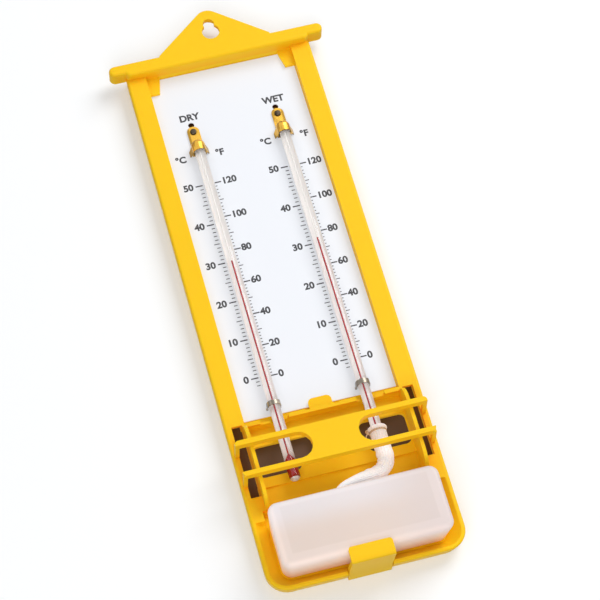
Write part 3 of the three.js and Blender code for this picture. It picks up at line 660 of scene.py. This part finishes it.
def spline(points, per_span):
    """Smooth route through the points, as many steps for each span."""
    spots = [Vector(point) for point in points]
    ends = [spots[0] * 2 - spots[1]] + spots + [spots[-1] * 2 - spots[-2]]
    route = []
    for before, start, stop, after in zip(ends, ends[1:], ends[2:], ends[3:]):
        for step in range(per_span):
            t = step / per_span
            bend = 2 * before - 5 * start + 4 * stop - after
            turn = 3 * start - before - 3 * stop + after
            route.append(start + ((stop - before) * t + bend * t * t + turn * t**3) / 2)
    return route + [spots[-1]]


def merged_copy(bm, name):
    """The node's solid with its loose facets welded and its coplanar faces joined."""
    bm.from_mesh(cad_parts[name].data)
    bmesh.ops.remove_doubles(bm, verts=bm.verts, dist=WELD_DISTANCE)
    bmesh.ops.dissolve_limit(bm, angle_limit=FLAT_ANGLE, verts=bm.verts, edges=bm.edges)


def next_ring(bm, ring):
    """Extrudes a ring of vertices and gives the new ring in the same order."""
    old = set(ring)
    edges = {edge for vert in ring for edge in vert.link_edges if edge.other_vert(vert) in old}
    made = bmesh.ops.extrude_edge_only(bm, edges=list(edges))["geom"]
    follow = {}
    for vert in made:
        if isinstance(vert, bmesh.types.BMVert):
            for edge in vert.link_edges:
                follow[edge.other_vert(vert)] = vert
    return [follow[vert] for vert in ring]


def swept(bm, route, sides, shape=None):
    """Extrudes a ring along a route of places with radii; shape scales the radius at each spot."""
    layer = bm.loops.layers.uv.verify()
    ring = bmesh.ops.create_circle(bm, segments=sides, radius=1)["verts"]
    across = Vector((-1, 0, 0))
    distance = 0
    spots = {}
    for index, point in enumerate(route):
        if index:
            ring = next_ring(bm, ring)
            distance += (point.xyz - route[index - 1].xyz).length
        ahead = route[min(index + 1, len(route) - 1)]
        behind = route[max(index - 1, 0)]
        along = (ahead.xyz - behind.xyz).normalized()
        across = (across - along * across.dot(along)).normalized()
        front = across.cross(along)
        for spot, vert in enumerate(ring):
            turn = 2 * math.pi * spot / sides
            reach = point.w * (shape(distance, turn) if shape else 1)
            vert.co = point.xyz + (across * math.cos(turn) + front * math.sin(turn)) * reach
            spots[vert] = (spot, distance)
    for face in bm.faces:
        if not all(vert in spots for vert in face.verts):
            continue
        last = any(spots[vert][0] == sides - 1 for vert in face.verts)
        for loop in face.loops:
            spot, place = spots[loop.vert]
            around = sides if last and spot == 0 else spot
            loop[layer].uv = (around / sides, place / distance)
    rims = [edge for edge in bm.edges if edge.is_boundary]
    bmesh.ops.holes_fill(bm, edges=rims, sides=0)
    bmesh.ops.recalc_face_normals(bm, faces=bm.faces)


# Case, guard and clip


CASE_EDGE = 0.45 * MM
GUARD_EDGE = 0.6 * MM
CLIP_EDGE = 0.8 * MM
LIP_CORNER = 2.2 * MM
LIP_STEPS = 8


def round_lip(bm):
    """Rounds the two upper corners of the clip's lip, as seen from the front."""
    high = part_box("reservoir_clip")[1]
    floor = high.z - LIP_CORNER
    turns = [math.pi / 2 * step / LIP_STEPS for step in range(LIP_STEPS)]
    levels = {floor + LIP_CORNER * math.sin(turn) for turn in turns}
    levels |= {vert.co.z for vert in bm.verts if floor < vert.co.z < high.z - 0.01 * MM}
    for level in sorted(levels):
        bmesh.ops.bisect_plane(
            bm,
            geom=bm.verts[:] + bm.edges[:] + bm.faces[:],
            dist=0.001 * MM,
            plane_co=(0, 0, level),
            plane_no=(0, 0, 1),
        )
    for vert in bm.verts:
        rise = vert.co.z - floor
        if rise > 0:
            reach = high.x - LIP_CORNER + math.sqrt(max(0, LIP_CORNER**2 - rise**2))
            vert.co.x = math.copysign(reach, vert.co.x)
    bmesh.ops.recalc_face_normals(bm, faces=bm.faces)


class HYGRO_OT_case(bpy.types.Operator):
    """Give the case, the guard and the reservoir's clip their moulded edges and yellow plastic"""

    bl_idname = "hygro.case"
    bl_label = "Case, guard and clip"

    def execute(self, context):
        material = yellow_plastic()
        for name, width in (("case", CASE_EDGE), ("bulb_guard", GUARD_EDGE)):
            paint(soften_node(name, width, 3), material)
        bm = bmesh.new()
        merged_copy(bm, "reservoir_clip")
        round_lip(bm)
        hides = ["reservoir_clip"]
        clip = piece_from(bm, "sprung_clip", material, "clip_body", hides)
        moulded(clip, CLIP_EDGE, 3)
        return {"FINISHED"}


# Scale plate and its print


# Degrees of the two scales, and their ticks: step in degrees and length, coarsest first
C_DEGREES = range(-2, 51)
F_DEGREES = range(0, 121, 2)
C_TICKS = ((10, 3.8 * MM), (5, 2.8 * MM), (1, 1.8 * MM))
F_TICKS = ((20, 3.7 * MM), (10, 2.5 * MM), (2, 1.2 * MM))
TICK_START = 3.1 * MM
THIN_TICK = 0.44 * MM
THICK_TICK = 0.68 * MM
NUMBER_GAP = 1.25 * MM
F_NUMBER_GAP = 0.45 * MM

# How much the steps widen towards the top, and how far 0 degrees F stands below 0 degrees C
C_GROWTH = 0.0011
F_GROWTH = 0.0008
F_ZERO_DROP = 0.4 * MM

UNIT_REACH = 10.5 * MM
UNIT_HEIGHT = 226 * MM
WORD_HEIGHT = 250.5 * MM
STROKE_SHARE = 0.042
PLATE_EDGE = 0.12 * MM


def ink_bar(bm, left, right, height, thickness, front, depth):
    low = Vector((min(left, right), front - depth, height - thickness / 2))
    high = Vector((max(left, right), front, height + thickness / 2))
    place = Matrix.Translation((low + high) / 2) @ Matrix.Diagonal((*(high - low), 1))
    bmesh.ops.create_cube(bm, size=1, matrix=place)


def ink_text(bm, words, place_x, centre_z, size, front, depth, align="CENTER"):
    curve = bpy.data.curves.new("lettering", "FONT")
    curve.body = words
    curve.size = size
    curve.align_x = align
    curve.align_y = "CENTER"
    curve.extrude = depth / 2
    curve.offset = STROKE_SHARE * size
    curve.resolution_u = 4
    holder = bpy.data.objects.new("lettering", curve)
    bpy.context.scene.collection.objects.link(holder)
    bpy.context.view_layer.update()
    mesh = bpy.data.meshes.new_from_object(holder)
    upright = Matrix.Rotation(math.pi / 2, 4, "X")
    mesh.transform(Matrix.Translation((place_x, front - depth / 2, centre_z)) @ upright)
    bm.from_mesh(mesh)
    bpy.data.meshes.remove(mesh)
    bpy.data.objects.remove(holder)
    bpy.data.curves.remove(curve)


def tick_length(degree, lengths):
    """Length of the tick at a degree, from the coarsest step that the degree is a multiple of."""
    return next(length for step, length in lengths if degree % step == 0)


def tick_height(degree, last, zero, top, growth):
    """Height of a degree's tick; the steps widen towards the last degree."""
    return zero + (top - zero) * degree * (1 - growth * (last - degree)) / last


def print_scale(bm, stem_x, outward, degrees, ticks, gap, zero, growth):
    """Ticks and numbers beside the stem; outward is -1 on the left and 1 on the right."""
    settings = bpy.context.scene.hygro_print
    front = PLATE_LOW.y
    depth = settings.ink_thickness
    start = stem_x + outward * TICK_START
    align = "LEFT" if outward > 0 else "RIGHT"
    for degree in degrees:
        height = tick_height(degree, degrees[-1], zero, settings.top_height, growth)
        length = tick_length(degree, ticks)
        numbered = degree % ticks[0][0] == 0
        thickness = THICK_TICK if numbered else THIN_TICK
        ink_bar(bm, start, start + outward * length, height, thickness, front, depth)
        if numbered:
            place = start + outward * (length + gap)
            ink_text(bm, str(degree), place, height, settings.number_size, front, depth, align)


def scale_print(side, stem_x):
    """Both scales of a thermometer, their units and its name."""
    settings = bpy.context.scene.hygro_print
    front = PLATE_LOW.y
    depth = settings.ink_thickness
    size = settings.number_size
    zero = settings.dry_zero if side == "dry" else settings.wet_zero
    bm = bmesh.new()
    print_scale(bm, stem_x, -1, C_DEGREES, C_TICKS, NUMBER_GAP, zero, C_GROWTH)
    print_scale(bm, stem_x, 1, F_DEGREES, F_TICKS, F_NUMBER_GAP, zero - F_ZERO_DROP, F_GROWTH)
    ink_text(bm, "°C", stem_x - UNIT_REACH, UNIT_HEIGHT, size, front, depth)
    ink_text(bm, "°F", stem_x + UNIT_REACH, UNIT_HEIGHT, size, front, depth)
    ink_text(bm, side.upper(), stem_x, WORD_HEIGHT, settings.word_size, front, depth)
    return bm


class HYGRO_OT_scale(bpy.types.Operator):
    """Finish the scale plate and print its two scales"""

    bl_idname = "hygro.scale"
    bl_label = "Scale plate and print"

    def execute(self, context):
        paint(soften_node("scale_plate", PLATE_EDGE), plate_white())
        ink = print_ink()
        for side, (low, high) in STEM_BOXES.items():
            centre = (low.x + high.x) / 2
            bm = scale_print(side, centre)
            piece_from(bm, side + "_scale_print", ink, "case_body")
        return {"FINISHED"}


# Thermometers


ROUND_STEPS = 8
STEM_SIDES = 64
BULB_SIDES = 48
END_SIDES = 32
BORE_SIDES = 24
BULB_HEIGHT = 14.4 * MM
BULB_NECK_SHARE = 0.45
BULB_NECK = 1.7 * MM
BULB_SHOULDER = 3.9 * MM
BULB_WALL = 0.55 * MM
BULB_END_WALL = 2.3 * MM
TOP_ROUND = 0.8 * MM
BORE_RADIUS = 0.23 * MM
COLUMN_RADIUS = 0.26 * MM
COLUMN_ROUND = 0.2 * MM
COLUMN_OVERLAP = 0.1 * MM
SPIRIT_GROWTH = 0.03 * MM
EMPTY_BORE_RADIUS = 0.245 * MM
BELOW_TOP = 1 * MM
END_INSET = 0.25 * MM
END_TOP = 1.9 * MM
END_SHARE = 0.86
ENAMEL_RADIUS_SHARE = 0.72
ENAMEL_THICKNESS = 0.12 * MM
ENAMEL_START = math.radians(12)
ENAMEL_STEPS = 16
ENAMEL_BELOW_TIP = 3.2 * MM


def quarter(radius, bottom):
    """Quarter round from the axis at the bottom out to the radius."""
    angles = [math.pi / 2 * step / ROUND_STEPS for step in range(ROUND_STEPS + 1)]
    return [(radius * math.sin(angle), bottom + radius * (1 - math.cos(angle))) for angle in angles]


def cavity_profile(low, radius, growth):
    """Hollow of the bulb, from its pointed top down to its round end."""
    inner = radius - BULB_WALL + growth
    top = low + BULB_HEIGHT + growth
    end = low + BULB_END_WALL - growth
    shoulder = [(BULB_NECK_SHARE * inner, top - BULB_NECK), (inner, top - BULB_SHOULDER)]
    return shoulder + quarter(inner, end)[::-1]


def stem_profile(low, high, radius):
    profile = quarter(radius, low)
    profile += [
        (radius, high - TOP_ROUND),
        (radius - 0.3 * MM, high - 0.2 * MM),
        (radius - TOP_ROUND, high),
        (BORE_RADIUS, high),
        (BORE_RADIUS, low + BULB_HEIGHT),
    ]
    return profile + cavity_profile(low, radius, 0)


def enamel_strip(bm, centre, low, high, radius):
    """Curved strip of white enamel in the glass, behind the bore."""
    across = radius * math.cos(ENAMEL_START)
    behind = radius * math.sin(ENAMEL_START)
    start = Vector((centre.x + across, centre.y + behind, low))
    ends = [bm.verts.new(start), bm.verts.new((start.x, start.y, high))]
    edge = bm.edges.new(ends)
    line = ends + [edge]
    turn = math.pi - 2 * ENAMEL_START
    bmesh.ops.spin(bm, geom=line, cent=centre, axis=(0, 0, 1), angle=turn, steps=ENAMEL_STEPS)
    bmesh.ops.recalc_face_normals(bm, faces=bm.faces)
    bmesh.ops.solidify(bm, geom=bm.faces, thickness=ENAMEL_THICKNESS)
    bmesh.ops.recalc_face_normals(bm, faces=bm.faces)


def sealed_end(low, radius):
    """Pale lens where the tube's end is melted shut, painted white: a painted reflection of the
    thick glass there.
    """
    bottom = low + END_INSET
    lens = [point for point in quarter(radius * END_SHARE, bottom) if point[1] < low + END_TOP]
    return lens + [(lens[-1][0] * END_SHARE, low + END_TOP), (0, low + END_TOP)]


def bulb_profile(low, radius):
    top = low + BULB_HEIGHT
    return [(0, top), (COLUMN_RADIUS, top)] + cavity_profile(low, radius, SPIRIT_GROWTH)


def column_profile(bottom, top):
    side = [(0, bottom), (COLUMN_RADIUS, bottom), (COLUMN_RADIUS, top - COLUMN_ROUND)]
    return side + [(0.6 * COLUMN_RADIUS, top), (0, top)]


class HYGRO_OT_thermometers(bpy.types.Operator):
    """Turn the glass stems, their bulbs of spirit and the two columns"""

    bl_idname = "hygro.thermometers"
    bl_label = "Thermometers"

    def execute(self, context):
        glass = clear_glass()
        enamel = white_enamel()
        spirit = red_spirit()
        for side, (low, high) in STEM_BOXES.items():
            centre = Vector(((low.x + high.x) / 2, (low.y + high.y) / 2, 0))
            radius = (high.x - low.x) / 2
            foot = low.z + BULB_HEIGHT
            head = high.z - BELOW_TOP
            bm = bmesh.new()
            turned(bm, stem_profile(low.z, high.z, radius), centre, STEM_SIDES)
            hides = [side + "_glass_stem"]
            smooth(piece_from(bm, side + "_glass", glass, "case_body", hides))
            bm = bmesh.new()
            enamel_strip(bm, centre, foot - ENAMEL_BELOW_TIP, head, radius * ENAMEL_RADIUS_SHARE)
            smooth(piece_from(bm, side + "_enamel_backing", enamel, "case_body"))
            bm = bmesh.new()
            # Painted reflection: the empty bore is a thin rod of white enamel, and the sealed end a
            # pale lens of it.
            bore = [(0, foot), (EMPTY_BORE_RADIUS, foot), (EMPTY_BORE_RADIUS, head), (0, head)]
            turned(bm, bore, centre, BORE_SIDES)
            turned(bm, sealed_end(low.z, radius), centre, END_SIDES)
            smooth(piece_from(bm, side + "_bore_and_end", enamel, "case_body"))
            bm = bmesh.new()
            turned(bm, bulb_profile(low.z, radius), centre, BULB_SIDES)
            hides = [side + "_bulb_spirit"]
            smooth(piece_from(bm, side + "_bulb_filling", spirit, "case_body", hides))
            bottom = foot - COLUMN_OVERLAP
            top = COLUMN_BOXES[side][1].z
            bm = bmesh.new()
            turned(bm, column_profile(bottom, top), centre, BORE_SIDES)
            hides = [side + "_spirit_column"]
            column = piece_from(bm, side + "_column", spirit, None, hides)
            smooth(column)
            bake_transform(column)
        return {"FINISHED"}


# Brass clips, screws and steel saddles


CLIP_FOLD = 0.15 * MM
SMALL_EDGE = 0.12 * MM
SCREW_COLOR = (0.09, 0.07, 0.05)


class HYGRO_OT_fixings(bpy.types.Operator):
    """Finish the brass clips, their screws and the steel saddles"""

    bl_idname = "hygro.fixings"
    bl_label = "Clips, screws and saddles"

    def execute(self, context):
        colours = context.scene.hygro_colours
        brass = bright_metal("bright_brass", tuple(colours.brass), low=0.18, high=0.32)
        steel = bright_metal("plated_steel", tuple(colours.steel), low=0.16, high=0.3)
        dark = bright_metal("dark_screw", SCREW_COLOR, low=0.22, high=0.4)
        for side in ("dry", "wet"):
            paint(soften_node(side + "_top_clip", CLIP_FOLD), brass)
            paint(soften_node(side + "_saddle", SMALL_EDGE), steel)
            paint(soften_node(side + "_clip_screw", SMALL_EDGE), dark)
        return {"FINISHED"}


# Reservoir and water


class HYGRO_OT_reservoir(bpy.types.Operator):
    """Finish the milky reservoir and its water"""

    bl_idname = "hygro.reservoir"
    bl_label = "Reservoir and water"

    def execute(self, context):
        for name, material in (("reservoir", milky_plastic()), ("reservoir_water", clear_water())):
            piece = welded_node(name)
            smooth(piece)
            paint(piece, material)
        return {"FINISHED"}


# Wick and tie


# Route of the wick in millimetres: place across, depth, height and radius
WICK_ROUTE = (
    (23, 9.3, 50.9, 4.1),
    (23, 9.3, 48.9, 4.1),
    (23, 9.3, 42.1, 4.1),
    (23, 9.3, 34.7, 4.1),
    (21.6, 9.6, 30.5, 3.8),
    (17.9, 10.6, 27.1, 3.6),
    (12.3, 12.6, 25.5, 3.3),
    (4, 15.6, 23.4, 2.6),
    (-3.4, 18, 20.6, 2),
    (-7.3, 18.8, 15.4, 2.2),
    (-8.6, 18.8, 5.8, 2.2),
    (-8.6, 18.8, -7.4, 2.2),
)
WICK_SIDES = 104
WICK_STEPS = 24
COLLAR_MIDDLE = 1.1 * MM
COLLAR_HALF = 1.05 * MM
COLLAR_SHARE = 0.2
WALE_SHARE = 0.028
ROW_SHARE = 0.016
ROW_PITCH = 1.1 * MM
CREASE_SHARE = 0.075
CREASE_PITCH = 4.6 * MM
CREASE_MIDDLE = 23 * MM
CREASE_HALF = 13 * MM
TIE_HEIGHT = 48.1 * MM
TIE_REACH = 4.28 * MM
TIE_RADIUS = 0.3 * MM
TIE_TURNS = 2
TURN_STEPS = 48
TIE_SIDES = 10
KNOT_SIZE = 0.3825 * MM
KNOT_DEPTH = 1.2
KNOT_STEPS = 72
KNOT_THREAD = 1.15 * TIE_RADIUS
KNOT_BESIDE = 0.6 * MM
KNOT_AHEAD = 0.9 * MM
END_STEPS = 6
CUT_SIDES = 8

# Cut end of the thread in millimetres: place across, share of its lean, depth and height
THREAD_END = ((0, 0, 0, 0), (-0.4, 0.3, -0.5, -1), (-0.6, 0.9, -0.7, -2), (-0.7, 1.2, -0.5, -3))


def wick_shape(distance, turn):
    """Rolled collar at the top, knitted wales and rows, and creases where the wick bends."""
    collar = math.exp(-(((distance - COLLAR_MIDDLE) / COLLAR_HALF) ** 4))
    bend = math.exp(-(((distance - CREASE_MIDDLE) / CREASE_HALF) ** 4))
    wale = WALE_SHARE * math.cos(WALES * turn)
    row = ROW_SHARE * math.cos(2 * math.pi * distance / ROW_PITCH)
    fold = math.sin(2 * math.pi * distance / CREASE_PITCH + 1.4 * math.sin(turn + 0.6))
    crease = CREASE_SHARE * bend * fold * (0.65 + 0.35 * math.cos(turn))
    return 1 + COLLAR_SHARE * collar + wale + row + crease


def tie_route(centre):
    """Two turns of thread round the collar's foot, ending at the knot on the left."""
    route = []
    for step in range(TURN_STEPS * TIE_TURNS + 1):
        turn = math.pi + 2 * math.pi * step / TURN_STEPS
        rise = 2 * TIE_RADIUS * step / TURN_STEPS
        across = centre.x + TIE_REACH * math.cos(turn)
        behind = centre.y + TIE_REACH * math.sin(turn)
        route.append(Vector((across, behind, TIE_HEIGHT + rise, TIE_RADIUS)))
    return route


def knot_route(middle):
    """Thread drawn up in a small trefoil knot."""
    route = []
    for step in range(KNOT_STEPS + 1):
        turn = 2 * math.pi * step / KNOT_STEPS
        x = math.sin(turn) + 2 * math.sin(2 * turn)
        z = math.cos(turn) - 2 * math.cos(2 * turn)
        y = -KNOT_DEPTH * math.sin(3 * turn)
        route.append(Vector((*(middle + Vector((x, y, z)) * KNOT_SIZE), KNOT_THREAD)))
    return route


def thread_end(middle, lean):
    """Cut end of the thread, hanging from the knot."""
    spots = []
    for across, share, depth, height in THREAD_END:
        spot = middle + Vector((across + share * lean, depth, height)) * MM
        spots.append(Vector((*spot, TIE_RADIUS)))
    return spline(spots, END_STEPS)


class HYGRO_OT_wick(bpy.types.Operator):
    """Knit the wick with its rolled collar, and tie it with thread"""

    bl_idname = "hygro.wick"
    bl_label = "Wick and tie"

    def execute(self, context):
        points = [Vector((x, -depth, z, radius)) * MM for x, depth, z, radius in WICK_ROUTE]
        bm = bmesh.new()
        swept(bm, spline(points, WICK_STEPS), WICK_SIDES, wick_shape)
        wick = piece_from(bm, "knitted_wick", knitted_cotton(), None, ["wick"])
        smooth(wick)
        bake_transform(wick)
        middle = points[0].xyz
        bm = bmesh.new()
        swept(bm, tie_route(middle), TIE_SIDES)
        left = middle.x - TIE_REACH - KNOT_BESIDE
        knot = Vector((left, middle.y - KNOT_AHEAD, TIE_HEIGHT + 3 * TIE_RADIUS))
        swept(bm, knot_route(knot), TIE_SIDES)
        for lean in (-1, 1):
            swept(bm, thread_end(knot, lean), CUT_SIDES)
        thread = twisted_thread()
        tie = piece_from(bm, "knotted_tie", thread, "case_body", ["wick_tie"])
        smooth(tie)
        return {"FINISHED"}


# Stage


SENSOR_WIDTH = 36
PICTURE_WIDTH = 600
LAMP_SIZE = 0.9
LAMP_TARGET = (0, 0, 0.1)
KEY_PLACE = (0.8, -1.0, 0.75)
FILL_PLACE = (-0.35, -1.0, -0.8)
FLOOR_PLACE = (0, 0.3 * MM, 0.1)
FLOOR_HALF = 3

# Covered floor, dark with painted shade: how far below the guard it is in view, and how far within
# the guard's sides
UNDER_BELOW_GUARD = 10 * MM
UNDER_INSET = 0.5 * MM


def camera_turn(settings):
    """Turn from the object's axes to the camera's right, up and back."""
    front = Matrix(((1, 0, 0), (0, 0, -1), (0, 1, 0)))
    yaw = Matrix.Rotation(settings.yaw, 3, "Y")
    pitch = Matrix.Rotation(settings.pitch, 3, "X")
    roll = Matrix.Rotation(settings.roll, 3, "Z")
    return roll @ pitch @ yaw @ front


def add_camera(settings):
    """Camera that shows the aim at its pixel."""
    turn = camera_turn(settings)
    right, down, forward = Vector(turn[0]), Vector(turn[1]), Vector(turn[2])
    pixels = settings.lens / SENSOR_WIDTH * PICTURE_WIDTH
    across = (settings.aim_pixel[0] - PICTURE_WIDTH / 2) * settings.distance / pixels
    below = (settings.aim_pixel[1] - PICTURE_WIDTH / 2) * settings.distance / pixels
    place = Vector(settings.aim) - right * across - down * below - forward * settings.distance
    camera = bpy.data.cameras.new("camera")
    camera.lens = settings.lens
    camera.sensor_width = SENSOR_WIDTH
    holder = bpy.data.objects.new("camera", camera)
    holder.matrix_world = Matrix(
        (
            (right.x, -down.x, -forward.x, place.x),
            (right.y, -down.y, -forward.y, place.y),
            (right.z, -down.z, -forward.z, place.z),
            (0, 0, 0, 1),
        )
    )
    bpy.context.scene.collection.objects.link(holder)
    bpy.context.scene.camera = holder


def add_area_light(name, place, power):
    """Square lamp that faces the object."""
    light = bpy.data.lights.new(name, "AREA")
    light.shape = "SQUARE"
    light.size = LAMP_SIZE
    light.energy = power
    holder = bpy.data.objects.new(name, light)
    holder.location = place
    away = Vector(LAMP_TARGET) - Vector(place)
    holder.rotation_euler = away.to_track_quat("-Z", "Y").to_euler()
    bpy.context.scene.collection.objects.link(holder)


def seen_directly(tree):
    """One for what is seen, also in a reflection or through glass, and nought for lighting."""
    path = tree.nodes.new("ShaderNodeLightPath").outputs
    direct = math_node(tree, "MAXIMUM", path["Is Camera Ray"], path["Is Glossy Ray"])
    return math_node(tree, "MAXIMUM", direct, path["Is Transmission Ray"])


def mixed_shader(tree, share, first, second):
    mix = tree.nodes.new("ShaderNodeMixShader")
    tree.links.new(share, mix.inputs["Fac"])
    tree.links.new(first, mix.inputs[1])
    tree.links.new(second, mix.inputs[2])
    return mix.outputs["Shader"]


def pale_floor(settings):
    """White floor that keeps the object's shadow, with painted shade, a dark colour, where the
    hollow case covers it.

    It is seen from its front alone, so that the object's back shows from behind, and lets light by.
    """
    material, tree, shader = new_material("pale_floor")
    low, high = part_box("bulb_guard")
    bottom = low.z - UNDER_BELOW_GUARD
    top = PLATE_HIGH.z
    middle = ((low.x + high.x) / 2, 0, (bottom + top) / 2)
    half = ((high.x - low.x) / 2 - UNDER_INSET, 1, (top - bottom) / 2)
    coordinates = tree.nodes.new("ShaderNodeTexCoord")
    mapping = tree.nodes.new("ShaderNodeMapping")
    mapping.vector_type = "TEXTURE"
    mapping.inputs["Location"].default_value = middle
    mapping.inputs["Scale"].default_value = half
    tree.links.new(coordinates.outputs["Object"], mapping.inputs["Vector"])
    x, _, z = split_vector(tree, mapping.outputs["Vector"])
    across = math_node(tree, "ABSOLUTE", x, 0)
    along = math_node(tree, "ABSOLUTE", z, 0)
    further = math_node(tree, "MAXIMUM", across, along)
    open_floor = math_node(tree, "GREATER_THAN", further, 1)
    # Painted shade: dark under the case, the floor's colour elsewhere.
    tinted(tree, shader, open_floor, tuple(settings.under_color), tuple(settings.floor_color))
    shader.inputs["Roughness"].default_value = 0.8
    white = tree.nodes.new("ShaderNodeEmission")
    share = math_node(tree, "MULTIPLY", open_floor, settings.white_share)
    lit = mixed_shader(tree, share, shader.outputs["BSDF"], white.outputs["Emission"])
    side = tree.nodes.new("ShaderNodeNewGeometry")
    front = math_node(tree, "SUBTRACT", 1, side.outputs["Backfacing"])
    shown = math_node(tree, "MULTIPLY", seen_directly(tree), front)
    clear = tree.nodes.new("ShaderNodeBsdfTransparent")
    whole = mixed_shader(tree, shown, clear.outputs["BSDF"], lit)
    tree.links.new(whole, tree.nodes["Material Output"].inputs["Surface"])
    return material


def add_world(scene, settings):
    world = bpy.data.worlds.new("studio")
    world.use_nodes = True
    tree = world.node_tree
    background = tree.nodes["Background"]
    background.inputs["Color"].default_value = (1, 1, 1, 1)
    strength = ranged(tree, seen_directly(tree), settings.world_strength, 1)
    tree.links.new(strength, background.inputs["Strength"])
    scene.world = world


class HYGRO_OT_stage(bpy.types.Operator):
    """Lay a pale floor behind the object's back and add soft light and the camera"""

    bl_idname = "hygro.stage"
    bl_label = "Stage, light and camera"

    def execute(self, context):
        scene = context.scene
        settings = scene.hygro_stage
        scene.view_settings.view_transform = "Standard"
        bm = bmesh.new()
        turn = Matrix.Translation(FLOOR_PLACE) @ Matrix.Rotation(math.pi / 2, 4, "X")
        bmesh.ops.create_grid(bm, x_segments=1, y_segments=1, size=FLOOR_HALF, matrix=turn)
        mesh = bpy.data.meshes.new("floor")
        bm.to_mesh(mesh)
        bm.free()
        floor = bpy.data.objects.new("floor", mesh)
        scene.collection.objects.link(floor)
        floor.data.materials.append(pale_floor(settings))
        add_world(scene, settings)
        add_area_light("key", KEY_PLACE, settings.key_power)
        add_area_light("fill", FILL_PLACE, settings.fill_power)
        add_camera(settings)
        return {"FINISHED"}


# Panel and registration


OPERATORS = (
    HYGRO_OT_stage,
    HYGRO_OT_case,
    HYGRO_OT_scale,
    HYGRO_OT_thermometers,
    HYGRO_OT_fixings,
    HYGRO_OT_reservoir,
    HYGRO_OT_wick,
)


class HYGRO_PT_panel(bpy.types.Panel):
    """Sidebar panel with the hygrometer's steps"""

    bl_idname = "HYGRO_PT_panel"
    bl_label = "Hygrometer"
    bl_space_type = "VIEW_3D"
    bl_region_type = "UI"
    bl_category = "Hygrometer"

    def draw(self, context):
        for operator in OPERATORS:
            self.layout.operator(operator.bl_idname)


SETTINGS = {
    "hygro_stage": HygroStageSettings,
    "hygro_colours": HygroColourSettings,
    "hygro_print": HygroPrintSettings,
}


def register():
    for name, group in SETTINGS.items():
        bpy.utils.register_class(group)
        setattr(bpy.types.Scene, name, bpy.props.PointerProperty(type=group))
    for operator in OPERATORS:
        bpy.utils.register_class(operator)
    bpy.utils.register_class(HYGRO_PT_panel)


def unregister():
    bpy.utils.unregister_class(HYGRO_PT_panel)
    for operator in reversed(OPERATORS):
        bpy.utils.unregister_class(operator)
    for name, group in SETTINGS.items():
        delattr(bpy.types.Scene, name)
        bpy.utils.unregister_class(group)


def main():
    register()
    bpy.ops.hygro.stage()
    bpy.ops.hygro.case()
    bpy.ops.hygro.scale()
    bpy.ops.hygro.thermometers()
    bpy.ops.hygro.fixings()
    bpy.ops.hygro.reservoir()
    bpy.ops.hygro.wick()


if __name__ == "__main__":
    main()
